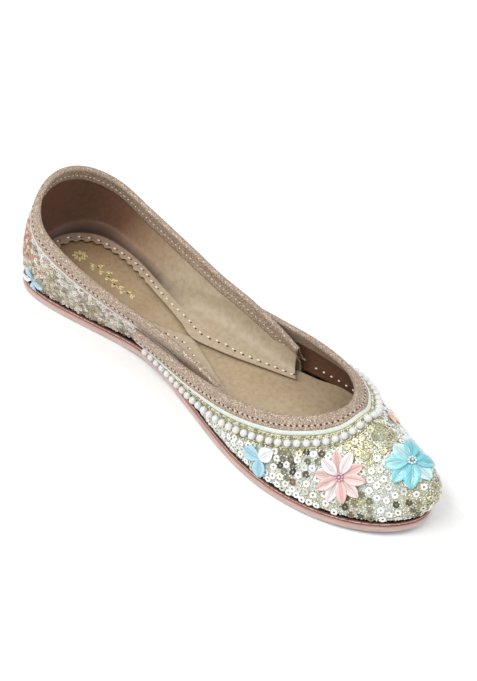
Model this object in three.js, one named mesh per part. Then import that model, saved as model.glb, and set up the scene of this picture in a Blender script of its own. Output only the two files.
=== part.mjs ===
// Mojari: a flat leather slip-on with a U-shaped throat, made on a straight last,
// so the same shoe fits either foot. Five pieces: outsole, midsole, insole, quarter, vamp.
// Millimetres, +X to the toe, +Y to the wearer's left, +Z up, standing on z = 0.
import * as THREE from 'three';

// Driving dimensions of the last and the sole outline.
const LENGTH = 246;
const HEEL_X = 23;
const HEEL_HALF = 29;
const HEEL_POWER = 2.2;
const WAIST_X = 84;
const WAIST_HALF = 20;
const BALL_X = 178;
const BALL_HALF = 38.5;
const TOE_RISE_POWER = 2;
const TOE_ROUND_POWER = 1.8;

// Height of the sole's underside: flat heel, low arch, flat forefoot, toe spring.
const ARCH_START = 60;
const ARCH_END = 128;
const ARCH_RISE = 1.5;
const SPRING_START = 186;
const TOE_SPRING = 3.5;

// Layers, from the ground up, and the gap that touching pieces keep.
const GAP = 0.3;
const OUTSOLE_THICK = 3.7;
const MIDSOLE_THICK = 2;
const INSOLE_THICK = 3;
const FLANGE_THICK = 1.5;
const VAMP_WALL = 2.2;
const QUARTER_WALL = 2;
const SOLE_CHAMFER = 0.7;
const MIDSOLE_INSET = 0.4;
const UPPER_INSET = 1.4;

const MIDSOLE_LEVEL = OUTSOLE_THICK + GAP;
const UPPER_LEVEL = MIDSOLE_LEVEL + MIDSOLE_THICK + GAP;
const FLANGE_LEVEL = UPPER_LEVEL + INSOLE_THICK + GAP;
const FLANGE_TOP = FLANGE_LEVEL + FLANGE_THICK;

// The insole stands clear of the single wall, and further in where the wall is double.
const INSOLE_INSET = UPPER_INSET + VAMP_WALL + 0.9;
const INSOLE_INSET_DOUBLE = UPPER_INSET + VAMP_WALL + QUARTER_WALL + 1.6;
const DOUBLE_WALL = { start: 70, full: 90, fade: 152, end: 168 };

// Ribs of the vamp, from the end of its wing to the toe. along is the place on the sole's
// edge, 0 at the heel and 1 at the toe; rim is the throat's edge. rise and flare set how
// the wall leaves the sole. share, lean and drop set how it comes to the rim: how far it
// lies over towards the sole's edge, how far it leans out, and how steeply it falls.
const VAMP_RIBS = [
  { along: 0.39, rimX: 86, rimY: 28.4, rimZ: 24.5, rise: 7, flare: 3.2, share: 0, lean: 1.5, drop: 7 },
  { along: 0.455, rimX: 104, rimY: 28.6, rimZ: 24.5, rise: 7, flare: 3.2, share: 0, lean: 1.5, drop: 7 },
  { along: 0.53, rimX: 126, rimY: 30.3, rimZ: 26, rise: 8, flare: 3, share: 0, lean: 2, drop: 6.5 },
  { along: 0.61, rimX: 150, rimY: 30.4, rimZ: 29, rise: 9, flare: 2.5, share: 0.2, lean: 2, drop: 6 },
  { along: 0.69, rimX: 172, rimY: 25.5, rimZ: 33, rise: 7.5, flare: 1.3, share: 0.3, lean: 1, drop: 5 },
  { along: 0.77, rimX: 185, rimY: 17, rimZ: 36, rise: 7, flare: 0.6, share: 0.32, lean: 0, drop: 5 },
  { along: 0.85, rimX: 190.8, rimY: 9.5, rimZ: 37.5, rise: 8.5, flare: 0.4, share: 0.28, lean: 0, drop: 6 },
  { along: 0.93, rimX: 192.6, rimY: 4, rimZ: 38, rise: 14.5, flare: 5.2, share: 0.4, lean: 0, drop: 5 },
  { along: 1, rimX: 193, rimY: 0, rimZ: 38.2, rise: 25, flare: 14, share: 0.81, lean: 0, drop: 1.3 },
];

// Ribs of the quarter, from the back of the heel to the end of its flap inside the vamp.
// inset is measured from the sole's edge; edge is the inner border of the turned-in flange.
const QUARTER_RIBS = [
  { along: 0, inset: 1.4, rimX: 3, rimY: 0, rimZ: 53, rise: 14, flare: 5, lean: 3.5, drop: 14, edgeX: 10.5, edgeY: 0 },
  { along: 0.07, inset: 1.4, rimX: 7, rimY: 16.5, rimZ: 49.5, rise: 13, flare: 4.5, lean: 3.5, drop: 13, edgeX: 13.5, edgeY: 9 },
  { along: 0.13, inset: 1.4, rimX: 20, rimY: 27.5, rimZ: 43, rise: 11, flare: 3.5, lean: 2.5, drop: 11, edgeX: 23, edgeY: 15.5 },
  { along: 0.21, inset: 1.4, rimX: 42, rimY: 29.5, rimZ: 37, rise: 9, flare: 2.5, lean: 1, drop: 10, edgeX: 42, edgeY: 16 },
  { along: 0.31, inset: 1.6, rimX: 68, rimY: 28.4, rimZ: 33.5, rise: 8, flare: 2, lean: 0.5, drop: 9, edgeX: 68, edgeY: 10 },
  { along: 0.39, inset: 4.3, rimX: 90, rimY: 26.6, rimZ: 31.5, rise: 8, flare: 2, lean: 0.5, drop: 9, edgeX: 88, edgeY: 4 },
  { along: 0.43, inset: 4.4, rimX: 101, rimY: 26.2, rimZ: 30.8, rise: 8, flare: 2, lean: 0.2, drop: 9, edgeX: 99, edgeY: 0.3 },
  { along: 0.47, inset: 4.4, rimX: 112, rimY: 26, rimZ: 30, rise: 8, flare: 2, lean: 0, drop: 8, edgeX: 112, edgeY: 4 },
  { along: 0.54, inset: 4.6, rimX: 130, rimY: 26, rimZ: 26.5, rise: 8, flare: 2, lean: 0, drop: 7, edgeX: 132, edgeY: 12 },
  { along: 0.6, inset: 5, rimX: 144, rimY: 26, rimZ: 22, rise: 6, flare: 2, lean: 0, drop: 5, edgeX: 150, edgeY: 19 },
];

// Fineness of the facets.
const SOLE_STATIONS = 28;
const SOLE_TIP = 0.07;
const UPPER_STEPS_PER_RIB = 4;
const WALL_STEPS = 9;
const OUTLINE_SAMPLES = 400;
const EDGE_REACH = 2;

const smooth = (t) => t * t * (3 - 2 * t);
const clamp01 = (t) => Math.min(1, Math.max(0, t));
const ramp = (x, from, to) => smooth(clamp01((x - from) / (to - from)));

// Half width of the sole at x: round heel, waist, ball, pointed round toe.
function soleHalf(x) {
  if (x < HEEL_X) {
    const t = (HEEL_X - x) / HEEL_X;
    return HEEL_HALF * (1 - t ** HEEL_POWER) ** (1 / HEEL_POWER);
  }
  if (x < WAIST_X) return HEEL_HALF + (WAIST_HALF - HEEL_HALF) * ramp(x, HEEL_X, WAIST_X);
  if (x < BALL_X) return WAIST_HALF + (BALL_HALF - WAIST_HALF) * ramp(x, WAIST_X, BALL_X);
  const t = Math.min(1, (x - BALL_X) / (LENGTH - BALL_X));
  return BALL_HALF * (1 - t ** TOE_RISE_POWER) ** (1 / TOE_ROUND_POWER);
}

// Height of the sole's underside above the ground.
function groundRise(x) {
  const arch = Math.sin(Math.PI * clamp01((x - ARCH_START) / (ARCH_END - ARCH_START)));
  const spring = clamp01((x - SPRING_START) / (LENGTH - SPRING_START));
  return ARCH_RISE * arch * arch + TOE_SPRING * spring * spring;
}

// Places along x that close up towards the round heel and toe.
function stationX(t) {
  return (LENGTH * (1 - Math.cos(Math.PI * t))) / 2;
}

// The far half of the outline, with its running length, for finding points on it.
function measureOutline() {
  const points = [];
  let length = 0;
  for (let i = 0; i <= OUTLINE_SAMPLES; i += 1) {
    const x = stationX(i / OUTLINE_SAMPLES);
    const y = soleHalf(x);
    if (i > 0) length += Math.hypot(x - points[i - 1].x, y - points[i - 1].y);
    points.push({ x, y, length });
  }
  return points;
}
const OUTLINE = measureOutline();

// A point of the outline at a running length; lengths past either tip turn over the middle.
function outlineAt(length) {
  const total = OUTLINE[OUTLINE_SAMPLES].length;
  const side = length < 0 || length > total ? -1 : 1;
  const target = length > total ? 2 * total - length : Math.abs(length);
  let i = 1;
  while (i < OUTLINE_SAMPLES && OUTLINE[i].length < target) i += 1;
  const [a, b] = [OUTLINE[i - 1], OUTLINE[i]];
  const t = (target - a.length) / (b.length - a.length);
  return { x: a.x + (b.x - a.x) * t, y: (a.y + (b.y - a.y) * t) * side };
}

// A point on the sole's edge and the direction out of it. along runs 0 to 1 from the heel
// to the toe on the left side, and on round the right side from 1 to 2 (or 0 to -1).
function edgePoint(along) {
  const length = along * OUTLINE[OUTLINE_SAMPLES].length;
  const [behind, ahead] = [outlineAt(length - EDGE_REACH), outlineAt(length + EDGE_REACH)];
  const out = new THREE.Vector3(behind.y - ahead.y, ahead.x - behind.x, 0).normalize();
  return { ...outlineAt(length), out };
}

// Catmull-Rom blend of every column of a table of ribs at place t, counted in ribs.
function blendRibs(ribs, t) {
  const i = Math.min(ribs.length - 2, Math.max(0, Math.floor(t)));
  const u = t - i;
  const [p1, p2] = [ribs[i], ribs[i + 1]];
  const rib = {};
  for (const key of Object.keys(p1)) {
    const p0 = i > 0 ? ribs[i - 1][key] : 2 * p1[key] - p2[key];
    const p3 = i + 2 < ribs.length ? ribs[i + 2][key] : 2 * p2[key] - p1[key];
    const [a, b] = [(p2[key] - p0) / 2, (p3 - p1[key]) / 2];
    const d = p2[key] - p1[key];
    rib[key] = p1[key] + u * (a + u * (3 * d - 2 * a - b + u * (a + b - 2 * d)));
  }
  return rib;
}

// The table carried over to the other side: y turns over, and along runs past the middle.
function mirrorRibs(ribs, middle) {
  const flip = (rib) => {
    const other = { ...rib, along: 2 * middle - rib.along, rimY: -rib.rimY };
    if ('edgeY' in rib) other.edgeY = -rib.edgeY;
    return other;
  };
  return middle > 0
    ? [...ribs, ...ribs.slice(0, -1).reverse().map(flip)]
    : [...ribs.slice(1).reverse().map(flip), ...ribs];
}

// One rib of the upper's outer face: a Bezier curve from the sole's edge to the rim.
function ribCurve(rib, inset) {
  const edge = edgePoint(rib.along);
  const foot = new THREE.Vector3(edge.x, edge.y, 0).addScaledVector(edge.out, -inset);
  foot.z = groundRise(foot.x) + UPPER_LEVEL;
  const rim = new THREE.Vector3(rib.rimX, rib.rimY, rib.rimZ);
  const low = foot.clone().addScaledVector(edge.out, rib.flare);
  low.z += rib.rise;
  const high = rim.clone().lerp(foot, rib.share ?? 0).addScaledVector(edge.out, rib.lean);
  high.z = rim.z - rib.drop;
  return { curve: new THREE.CubicBezierCurve3(foot, low, high, rim), out: edge.out, foot };
}

// The outer face as a function of rib place t and height v, with its outward normal.
function wallPoint(ribs, t, v) {
  const at = (place) => {
    const rib = blendRibs(ribs, place);
    return ribCurve(rib, rib.inset ?? UPPER_INSET).curve;
  };
  const step = 1e-3;
  const last = ribs.length - 1;
  const here = at(t);
  const across = at(Math.min(last, t + step)).getPoint(v);
  across.sub(at(Math.max(0, t - step)).getPoint(v));
  const normal = here.getTangent(v).cross(across).normalize();
  return { point: here.getPoint(v), normal };
}

function innerPoint(ribs, t, v, wall) {
  const { point, normal } = wallPoint(ribs, t, v);
  return point.addScaledVector(normal, -wall);
}

// A closed body from a row of closed loops, all with the same number of points.
function loftLoops(loops) {
  const size = loops[0].length;
  const positions = loops.flat().flatMap((p) => [p.x, p.y, p.z]);
  const faces = [];
  for (let i = 0; i + 1 < loops.length; i += 1) {
    for (let k = 0; k < size; k += 1) {
      const a = i * size + k;
      const b = i * size + ((k + 1) % size);
      faces.push(a, b, a + size, b, b + size, a + size);
    }
  }
  const contour = (loop, pick) => THREE.ShapeUtils.triangulateShape(loop.map(pick), []);
  return { size, positions, faces, contour };
}

// Closes both ends of a loft with faces laid out in each end loop's own plane.
function closeLoft(loops) {
  const { size, positions, faces, contour } = loftLoops(loops);
  const end = (loop, first, front) => {
    const centre = loop.reduce((sum, p) => sum.add(p), new THREE.Vector3()).divideScalar(size);
    const normal = new THREE.Vector3();
    loop.forEach((p, k) => {
      const next = loop[(k + 1) % size];
      normal.add(p.clone().sub(centre).cross(next.clone().sub(centre)));
    });
    const axisZ = normal.normalize();
    const axisX = loop[0].clone().sub(centre).projectOnPlane(axisZ).normalize();
    const axisY = axisZ.clone().cross(axisX);
    const flat = (p) => {
      const d = p.clone().sub(centre);
      return new THREE.Vector2(d.dot(axisX), d.dot(axisY));
    };
    for (const [a, b, c] of contour(loop, flat)) {
      if (front) faces.push(first + a, first + c, first + b);
      else faces.push(first + a, first + b, first + c);
    }
  };
  end(loops[0], 0, true);
  end(loops[loops.length - 1], (loops.length - 1) * size, false);
  const geometry = new THREE.BufferGeometry();
  geometry.setAttribute('position', new THREE.Float32BufferAttribute(positions, 3));
  geometry.setIndex(faces);
  if (signedVolume(geometry) < 0) {
    for (let i = 0; i < faces.length; i += 3) {
      [faces[i + 1], faces[i + 2]] = [faces[i + 2], faces[i + 1]];
    }
    geometry.setIndex(faces);
  }
  geometry.computeVertexNormals();
  return geometry;
}

function signedVolume(geometry) {
  const position = geometry.getAttribute('position');
  const index = geometry.getIndex();
  const [a, b, c] = [new THREE.Vector3(), new THREE.Vector3(), new THREE.Vector3()];
  let volume = 0;
  for (let i = 0; i < index.count; i += 3) {
    a.fromBufferAttribute(position, index.getX(i));
    b.fromBufferAttribute(position, index.getX(i + 1));
    c.fromBufferAttribute(position, index.getX(i + 2));
    volume += a.dot(b.cross(c)) / 6;
  }
  return volume;
}

// A flat layer of the sole: crosswise loops with chamfered edges, following the underside.
function soleLayer({ level, thick, insetAt, chamfer }) {
  const loops = [];
  for (let i = 0; i <= SOLE_STATIONS; i += 1) {
    const spread = SOLE_TIP + ((1 - 2 * SOLE_TIP) * i) / SOLE_STATIONS;
    const edge = edgePoint((1 - Math.cos(Math.PI * spread)) / 2);
    const inset = insetAt(edge.x);
    const x = edge.x - edge.out.x * inset;
    const half = edge.y - edge.out.y * inset;
    const z = groundRise(x) + level;
    const across = [-1, -0.4, 0.4, 1].map((k) => k * (half - chamfer));
    const under = across.map((y) => new THREE.Vector3(x, y, z));
    const over = across.map((y) => new THREE.Vector3(x, y, z + thick)).reverse();
    const sideAt = (y, up) => new THREE.Vector3(x, y, z + up);
    const right = [sideAt(half, chamfer), sideAt(half, thick - chamfer)];
    const left = [sideAt(-half, thick - chamfer), sideAt(-half, chamfer)];
    loops.push([...under, ...right, ...over, ...left]);
  }
  return closeLoft(loops);
}

function insoleInset(x) {
  const inDouble = ramp(x, DOUBLE_WALL.start, DOUBLE_WALL.full);
  const past = ramp(x, DOUBLE_WALL.fade, DOUBLE_WALL.end);
  return INSOLE_INSET + (INSOLE_INSET_DOUBLE - INSOLE_INSET) * (inDouble - past);
}

// The vamp: one curved wall over the toes and instep, with a wing along each side.
function vampGeometry() {
  const ribs = mirrorRibs(VAMP_RIBS, 1);
  const steps = (ribs.length - 1) * UPPER_STEPS_PER_RIB;
  const loops = [];
  for (let i = 0; i <= steps; i += 1) {
    const t = i / UPPER_STEPS_PER_RIB;
    const outer = [];
    const inner = [];
    for (let k = 0; k <= WALL_STEPS; k += 1) {
      const v = k / WALL_STEPS;
      outer.push(wallPoint(ribs, t, v).point);
      inner.push(innerPoint(ribs, t, v, VAMP_WALL));
    }
    loops.push([...outer, ...inner.reverse()]);
  }
  return closeLoft(loops);
}

// The quarter: the wall round the heel, turned in at its foot as a flange over the insole.
function quarterGeometry() {
  const ribs = mirrorRibs(QUARTER_RIBS, 0);
  const steps = (ribs.length - 1) * UPPER_STEPS_PER_RIB;
  const loops = [];
  for (let i = 0; i <= steps; i += 1) {
    const t = i / UPPER_STEPS_PER_RIB;
    const rib = blendRibs(ribs, t);
    const { foot, out } = ribCurve(rib, rib.inset);
    const wallFoot = foot.clone().addScaledVector(out, -QUARTER_WALL);
    const laid = (p, level) => p.clone().setZ(groundRise(p.x) + level);
    const inside = (v) => innerPoint(ribs, t, v, QUARTER_WALL);
    let [low, high] = [0, 1];
    for (let n = 0; n < 20; n += 1) {
      const middle = (low + high) / 2;
      const point = inside(middle);
      if (point.z < groundRise(point.x) + FLANGE_TOP) low = middle;
      else high = middle;
    }
    const outer = [];
    const inner = [];
    for (let k = 0; k <= WALL_STEPS; k += 1) {
      outer.push(wallPoint(ribs, t, k / WALL_STEPS).point);
      inner.push(inside(1 + ((high - 1) * k) / WALL_STEPS));
    }
    const edge = new THREE.Vector3(rib.edgeX, rib.edgeY, 0);
    const halfOver = laid(inner[WALL_STEPS].clone().lerp(edge, 0.5), FLANGE_TOP);
    const halfUnder = laid(wallFoot.clone().lerp(edge, 0.5), FLANGE_LEVEL);
    const flange = [halfOver, laid(edge, FLANGE_TOP), laid(edge, FLANGE_LEVEL), halfUnder];
    loops.push([...outer, ...inner, ...flange, laid(wallFoot, FLANGE_LEVEL), wallFoot]);
  }
  return closeLoft(loops);
}

function addPiece(group, name, geometry, colour, roughness, metalness) {
  const material = new THREE.MeshStandardMaterial({ color: colour, roughness, metalness });
  const mesh = new THREE.Mesh(geometry, material);
  mesh.name = name;
  group.add(mesh);
}

const shoe = new THREE.Group();
addPiece(shoe, 'outsole', soleLayer({
  level: 0, thick: OUTSOLE_THICK, insetAt: () => 0, chamfer: SOLE_CHAMFER,
}), 0xc49c92, 0.6, 0);
addPiece(shoe, 'midsole', soleLayer({
  level: MIDSOLE_LEVEL, thick: MIDSOLE_THICK, insetAt: () => MIDSOLE_INSET, chamfer: SOLE_CHAMFER,
}), 0xb5735c, 0.35, 0.6);
addPiece(shoe, 'insole', soleLayer({
  level: UPPER_LEVEL, thick: INSOLE_THICK, insetAt: insoleInset, chamfer: SOLE_CHAMFER,
}), 0xb59a77, 0.55, 0);
addPiece(shoe, 'quarter', quarterGeometry(), 0xd2c8a6, 0.5, 0.1);
addPiece(shoe, 'vamp', vampGeometry(), 0xd6d3bb, 0.5, 0.1);

// The origin is under the middle of the whole shoe, on the ground.
const box = new THREE.Box3().setFromObject(shoe);
shoe.position.x = -(box.min.x + box.max.x) / 2;
shoe.position.y = -(box.min.y + box.max.y) / 2;

export default shoe;
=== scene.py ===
# Mojari: a flat leather slip-on with a U-shaped throat, dressed with sequins, beads and
# petal flowers. The sections follow the shoe as it is put together, from the sole up.
import math
import random
import bmesh
import bpy
import numpy as np
from mathutils import Matrix, Vector
from mathutils.kdtree import KDTree


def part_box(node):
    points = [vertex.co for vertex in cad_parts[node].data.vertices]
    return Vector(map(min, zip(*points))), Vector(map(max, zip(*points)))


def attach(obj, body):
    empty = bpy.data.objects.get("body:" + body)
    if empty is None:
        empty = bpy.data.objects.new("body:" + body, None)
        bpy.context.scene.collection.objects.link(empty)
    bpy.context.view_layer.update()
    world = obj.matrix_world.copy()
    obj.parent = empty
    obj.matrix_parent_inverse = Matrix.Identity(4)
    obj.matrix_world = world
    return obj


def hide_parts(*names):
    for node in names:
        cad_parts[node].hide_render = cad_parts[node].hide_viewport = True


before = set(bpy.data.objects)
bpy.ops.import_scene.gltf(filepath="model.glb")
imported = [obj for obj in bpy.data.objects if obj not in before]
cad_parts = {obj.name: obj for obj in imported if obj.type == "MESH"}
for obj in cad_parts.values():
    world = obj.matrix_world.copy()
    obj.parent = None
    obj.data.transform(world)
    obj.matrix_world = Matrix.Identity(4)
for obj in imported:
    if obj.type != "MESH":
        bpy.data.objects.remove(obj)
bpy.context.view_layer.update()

# ---------------------------------------------------------------- camera, floor and light
# The view is from the wearer's right, turned towards the toe and high enough to see into
# the shoe. The camera is rolled, so that the heel stands higher than the toe.
MM = 0.001
VIEW_AZIMUTH = math.radians(35.7)
VIEW_ELEVATION = math.radians(42.7)
VIEW_ROLL = math.radians(10)
VIEW_DISTANCE = 1.13
VIEW_LENS = 127.2
SENSOR = 36
AIM_HEIGHT = 0.025
AIM_RIGHT = 0.0028
AIM_UP = 0.0025

view_back = Vector((
    math.sin(VIEW_AZIMUTH) * math.cos(VIEW_ELEVATION),
    -math.cos(VIEW_AZIMUTH) * math.cos(VIEW_ELEVATION),
    math.sin(VIEW_ELEVATION),
))
level_right = Vector((math.cos(VIEW_AZIMUTH), math.sin(VIEW_AZIMUTH), 0))
level_up = view_back.cross(level_right)
view_right = level_right * math.cos(VIEW_ROLL) + level_up * math.sin(VIEW_ROLL)
view_up = level_up * math.cos(VIEW_ROLL) - level_right * math.sin(VIEW_ROLL)

camera_data = bpy.data.cameras.new("camera")
camera_data.lens = VIEW_LENS
camera_data.sensor_width = SENSOR
camera = bpy.data.objects.new("camera", camera_data)
bpy.context.scene.collection.objects.link(camera)
aim = Vector((0, 0, AIM_HEIGHT)) + view_right * AIM_RIGHT + view_up * AIM_UP
turn = Matrix((view_right, view_up, view_back)).transposed().to_4x4()
camera.matrix_world = Matrix.Translation(aim + view_back * VIEW_DISTANCE) @ turn
bpy.context.scene.camera = camera
bpy.context.scene.view_settings.view_transform = "Standard"


def linear(code):
    """An sRGB hex colour as linear red, green, blue and alpha."""
    parts = [int(code[i:i + 2], 16) / 255 for i in (0, 2, 4)]
    return [p / 12.92 if p <= 0.04045 else ((p + 0.055) / 1.055) ** 2.4 for p in parts] + [1]


def add(tree, kind, inputs=None, **settings):
    """Adds a node with its settings; an input is a value or the socket that feeds it."""
    made = tree.nodes.new(kind)
    for key, value in settings.items():
        setattr(made, key, value)
    for key, value in (inputs or {}).items():
        if isinstance(value, bpy.types.NodeSocket):
            tree.links.new(value, made.inputs[key])
        else:
            made.inputs[key].default_value = value
    return made


def material(name):
    """A new empty material and its node tree."""
    made = bpy.data.materials.new(name)
    made.use_nodes = True
    made.node_tree.nodes.clear()
    return made, made.node_tree


def surface(tree, inputs):
    """Ends a material with its shader; an input is a value or the socket that feeds it."""
    shader = add(tree, "ShaderNodeBsdfPrincipled", inputs)
    add(tree, "ShaderNodeOutputMaterial", {"Surface": shader.outputs[0]})


def ramp(tree, factor, stops, interpolation="LINEAR"):
    """A colour ramp over factor, with stops of (place, colour)."""
    made = add(tree, "ShaderNodeValToRGB", {"Fac": factor})
    made.color_ramp.interpolation = interpolation
    while len(made.color_ramp.elements) < len(stops):
        made.color_ramp.elements.new(1)
    for element, (place, colour) in zip(made.color_ramp.elements, stops):
        element.position = place
        element.color = linear(colour) if isinstance(colour, str) else (colour,) * 3 + (1,)
    return made.outputs[0]


# Matt paper: nearly white, with a faint grain.
white_paper, tree = material("matt_white_paper")
place = add(tree, "ShaderNodeTexCoord").outputs["Object"]
grain = add(tree, "ShaderNodeTexNoise", {"Vector": place, "Scale": 400.0}).outputs[0]
surface(tree, {"Base Color": ramp(tree, grain, [(0.3, "f6f6f6"), (0.7, "f9f9f9")]),
               "Roughness": 0.9})
bm = bmesh.new()
bmesh.ops.create_grid(bm, x_segments=1, y_segments=1, size=30)
floor_mesh = bpy.data.meshes.new("floor")
bm.to_mesh(floor_mesh)
bm.free()
floor_mesh.materials.append(white_paper)
floor = bpy.data.objects.new("floor", floor_mesh)
bpy.context.scene.collection.objects.link(floor)

SKY_STRENGTH = 0.78
world = bpy.data.worlds.new("studio")
world.use_nodes = True
world.node_tree.nodes["Background"].inputs["Color"].default_value = linear("ffffff")
world.node_tree.nodes["Background"].inputs["Strength"].default_value = SKY_STRENGTH
bpy.context.scene.world = world
SOFTBOXES = [
    {"place": (-0.5, -0.9, 1.3), "size": 0.9, "power": 14},
    {"place": (0.9, 0.7, 1.2), "size": 0.8, "power": 5},
    {"place": (0.15, -0.75, 1.1), "size": 0.2, "power": 2.2},
]
for softbox in SOFTBOXES:
    light_data = bpy.data.lights.new("softbox", "AREA")
    light_data.size = softbox["size"]
    light_data.energy = softbox["power"]
    light = bpy.data.objects.new("softbox", light_data)
    light.location = softbox["place"]
    light.rotation_euler = (-light.location).to_track_quat("-Z", "Y").to_euler()
    bpy.context.scene.collection.objects.link(light)

# ------------------------------------------------------------------------------- outsole
# The outsole is sole leather cut to the last's outline, rose on its painted edge and worn
# grey along the corner that meets the ground. It has a low arch and a little toe spring.
LENGTH = 246
HEEL_X = 23
HEEL_HALF = 29
HEEL_POWER = 2.2
WAIST_X = 84
WAIST_HALF = 20
BALL_X = 178
BALL_HALF = 38.5
TOE_RISE_POWER = 2
TOE_ROUND_POWER = 1.8
ARCH = {"start": 60, "end": 128, "rise": 1.5}
SPRING = {"start": 186, "rise": 3.5}
OUTLINE_SAMPLES = 1200
EDGE_REACH = 2
SOLE_POINTS = 260
SOLE_CUT = 5
SOLE_END = 0.1
OUTSOLE_THICK = 3.7
GAP = 0.3

last_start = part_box("outsole")[0][0] / MM - SOLE_END


def smooth_ramp(x, start, end):
    """0 before start, 1 after end, smooth between."""
    t = np.clip((x - start) / (end - start), 0, 1)
    return t * t * (3 - 2 * t)


def sole_half(x):
    """Half width of the sole at x."""
    heel = HEEL_HALF * (1 - np.clip((HEEL_X - x) / HEEL_X, 0, 1) ** HEEL_POWER)
    heel = HEEL_HALF * (heel / HEEL_HALF) ** (1 / HEEL_POWER)
    waist = HEEL_HALF + (WAIST_HALF - HEEL_HALF) * smooth_ramp(x, HEEL_X, WAIST_X)
    ball = WAIST_HALF + (BALL_HALF - WAIST_HALF) * smooth_ramp(x, WAIST_X, BALL_X)
    to_tip = np.clip((x - BALL_X) / (LENGTH - BALL_X), 0, 1)
    toe = BALL_HALF * (1 - to_tip ** TOE_RISE_POWER) ** (1 / TOE_ROUND_POWER)
    return np.where(x < HEEL_X, heel, np.where(x < WAIST_X, waist, np.where(x < BALL_X, ball, toe)))


def ground_rise(x):
    """Height of the sole's underside above the ground at x."""
    arch = np.sin(np.pi * np.clip((x - ARCH["start"]) / (ARCH["end"] - ARCH["start"]), 0, 1))
    spring = np.clip((x - SPRING["start"]) / (LENGTH - SPRING["start"]), 0, 1)
    return ARCH["rise"] * arch ** 2 + SPRING["rise"] * spring ** 2


outline_x = LENGTH * (1 - np.cos(np.pi * np.linspace(0, 1, OUTLINE_SAMPLES))) / 2
outline_y = sole_half(outline_x)
outline_steps = np.hypot(np.diff(outline_x), np.diff(outline_y))
outline_length = np.concatenate([[0], np.cumsum(outline_steps)])


def outline_at(length):
    """Outline point at a running length; lengths past either tip turn over the middle."""
    total = outline_length[-1]
    side = np.where((length < 0) | (length > total), -1, 1)
    target = np.where(length > total, 2 * total - length, np.abs(length))
    x = np.interp(target, outline_length, outline_x)
    return np.stack([x, np.interp(target, outline_length, outline_y) * side], -1)


def edge_point(along):
    """Point on the sole's edge and the way out of it; along is 0 at the heel, 1 at the toe."""
    length = along * outline_length[-1]
    run = outline_at(length + EDGE_REACH) - outline_at(length - EDGE_REACH)
    out = np.stack([-run[..., 1], run[..., 0]], -1)
    return outline_at(length), out / np.linalg.norm(out, axis=-1, keepdims=True)


def to_shoe(points):
    """Last millimetres, measured from the heel, as metres in the shoe's own frame."""
    return (np.asarray(points) + [last_start, 0, 0]) * MM


def finish_piece(bm, name, finishes, replaces=None, shade_smooth=True):
    """Turns a bmesh into the shoe's piece, riding on its one body."""
    mesh = bpy.data.meshes.new(name)
    for face in bm.faces:
        face.smooth = shade_smooth
    bm.to_mesh(mesh)
    bm.free()
    for finish in finishes:
        mesh.materials.append(finish)
    piece = bpy.data.objects.new(name, mesh)
    bpy.context.scene.collection.objects.link(piece)
    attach(piece, "root")
    if replaces:
        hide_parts(replaces)
    return piece


def sole_layer(level, thick, inset, rounding, segments=3):
    """A layer of the sole as a bmesh: outline, thickness, rounded edges, then the arch."""
    bm = bmesh.new()
    bmesh.ops.create_circle(bm, cap_ends=True, segments=SOLE_POINTS, radius=1)
    for vert in bm.verts:
        angle = math.atan2(vert.co.y, vert.co.x)
        point, out = edge_point(np.array(1 - abs(angle) / math.pi))
        point = point - out * inset(point[0])
        vert.co = (point[0], math.copysign(point[1], angle), 0)
    grown = bmesh.ops.extrude_face_region(bm, geom=bm.faces[:])["geom"]
    raised = [part for part in grown if isinstance(part, bmesh.types.BMVert)]
    bmesh.ops.translate(bm, verts=raised, vec=(0, 0, thick))
    bmesh.ops.recalc_face_normals(bm, faces=bm.faces[:])
    rims = [e for e in bm.edges if abs(e.verts[0].co.z - e.verts[1].co.z) < thick / 2]
    bmesh.ops.bevel(bm, geom=rims, offset=rounding, segments=segments, profile=0.5,
                    affect="EDGES", material=-1)
    for x in range(SOLE_CUT, LENGTH, SOLE_CUT):
        bmesh.ops.bisect_plane(bm, geom=bm.verts[:] + bm.edges[:] + bm.faces[:],
                               plane_co=(x, 0, 0), plane_no=(1, 0, 0))
    height = bm.verts.layers.float.new("height")
    run = bm.verts.layers.float.new("run")
    for vert in bm.verts:
        vert[height] = vert.co.z / thick
        vert[run] = float(np.interp(vert.co.x, outline_x, outline_length))
        rise = float(ground_rise(vert.co.x))
        vert.co = to_shoe([vert.co.x, vert.co.y, vert.co.z + level + rise])
    bmesh.ops.triangulate(bm, faces=[f for f in bm.faces if len(f.verts) > 4])
    return bm


# Sole leather, dyed rose and burnished on the edge: fine fibres run round it, matt and dry.
outsole_leather, tree = material("rose_sole_leather")
place = add(tree, "ShaderNodeTexCoord").outputs["Object"]
height = add(tree, "ShaderNodeAttribute", attribute_name="height").outputs["Fac"]
along_edge = add(tree, "ShaderNodeMapping", {"Vector": place, "Scale": (90, 90, 1500)})
fibre = add(tree, "ShaderNodeTexNoise", {"Vector": along_edge.outputs[0], "Scale": 1.0,
                                         "Detail": 5.0}).outputs[0]
dye = ramp(tree, height, [(0.0, "aca6a4"), (0.22, "beb7b4"), (0.42, "c8b1aa"),
                          (0.8, "c9a99f"), (0.9, "b8938a"), (1.0, "9a776d")])
dry = ramp(tree, fibre, [(0.32, "e2d6d2"), (0.65, "ffffff")])
worn = add(tree, "ShaderNodeMixRGB", {"Fac": 0.8, "Color1": dye, "Color2": dry},
           blend_type="MULTIPLY").outputs[0]
relief = add(tree, "ShaderNodeBump", {"Height": fibre, "Distance": 0.0002, "Strength": 0.6})
surface(tree, {"Base Color": worn, "Roughness": 0.62, "Normal": relief.outputs[0]})

OUTSOLE_ROUNDING = 0.8
finish_piece(
    sole_layer(0, OUTSOLE_THICK, lambda x: 0, OUTSOLE_ROUNDING),
    "outsole_leather", [outsole_leather], replaces="outsole")

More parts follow.
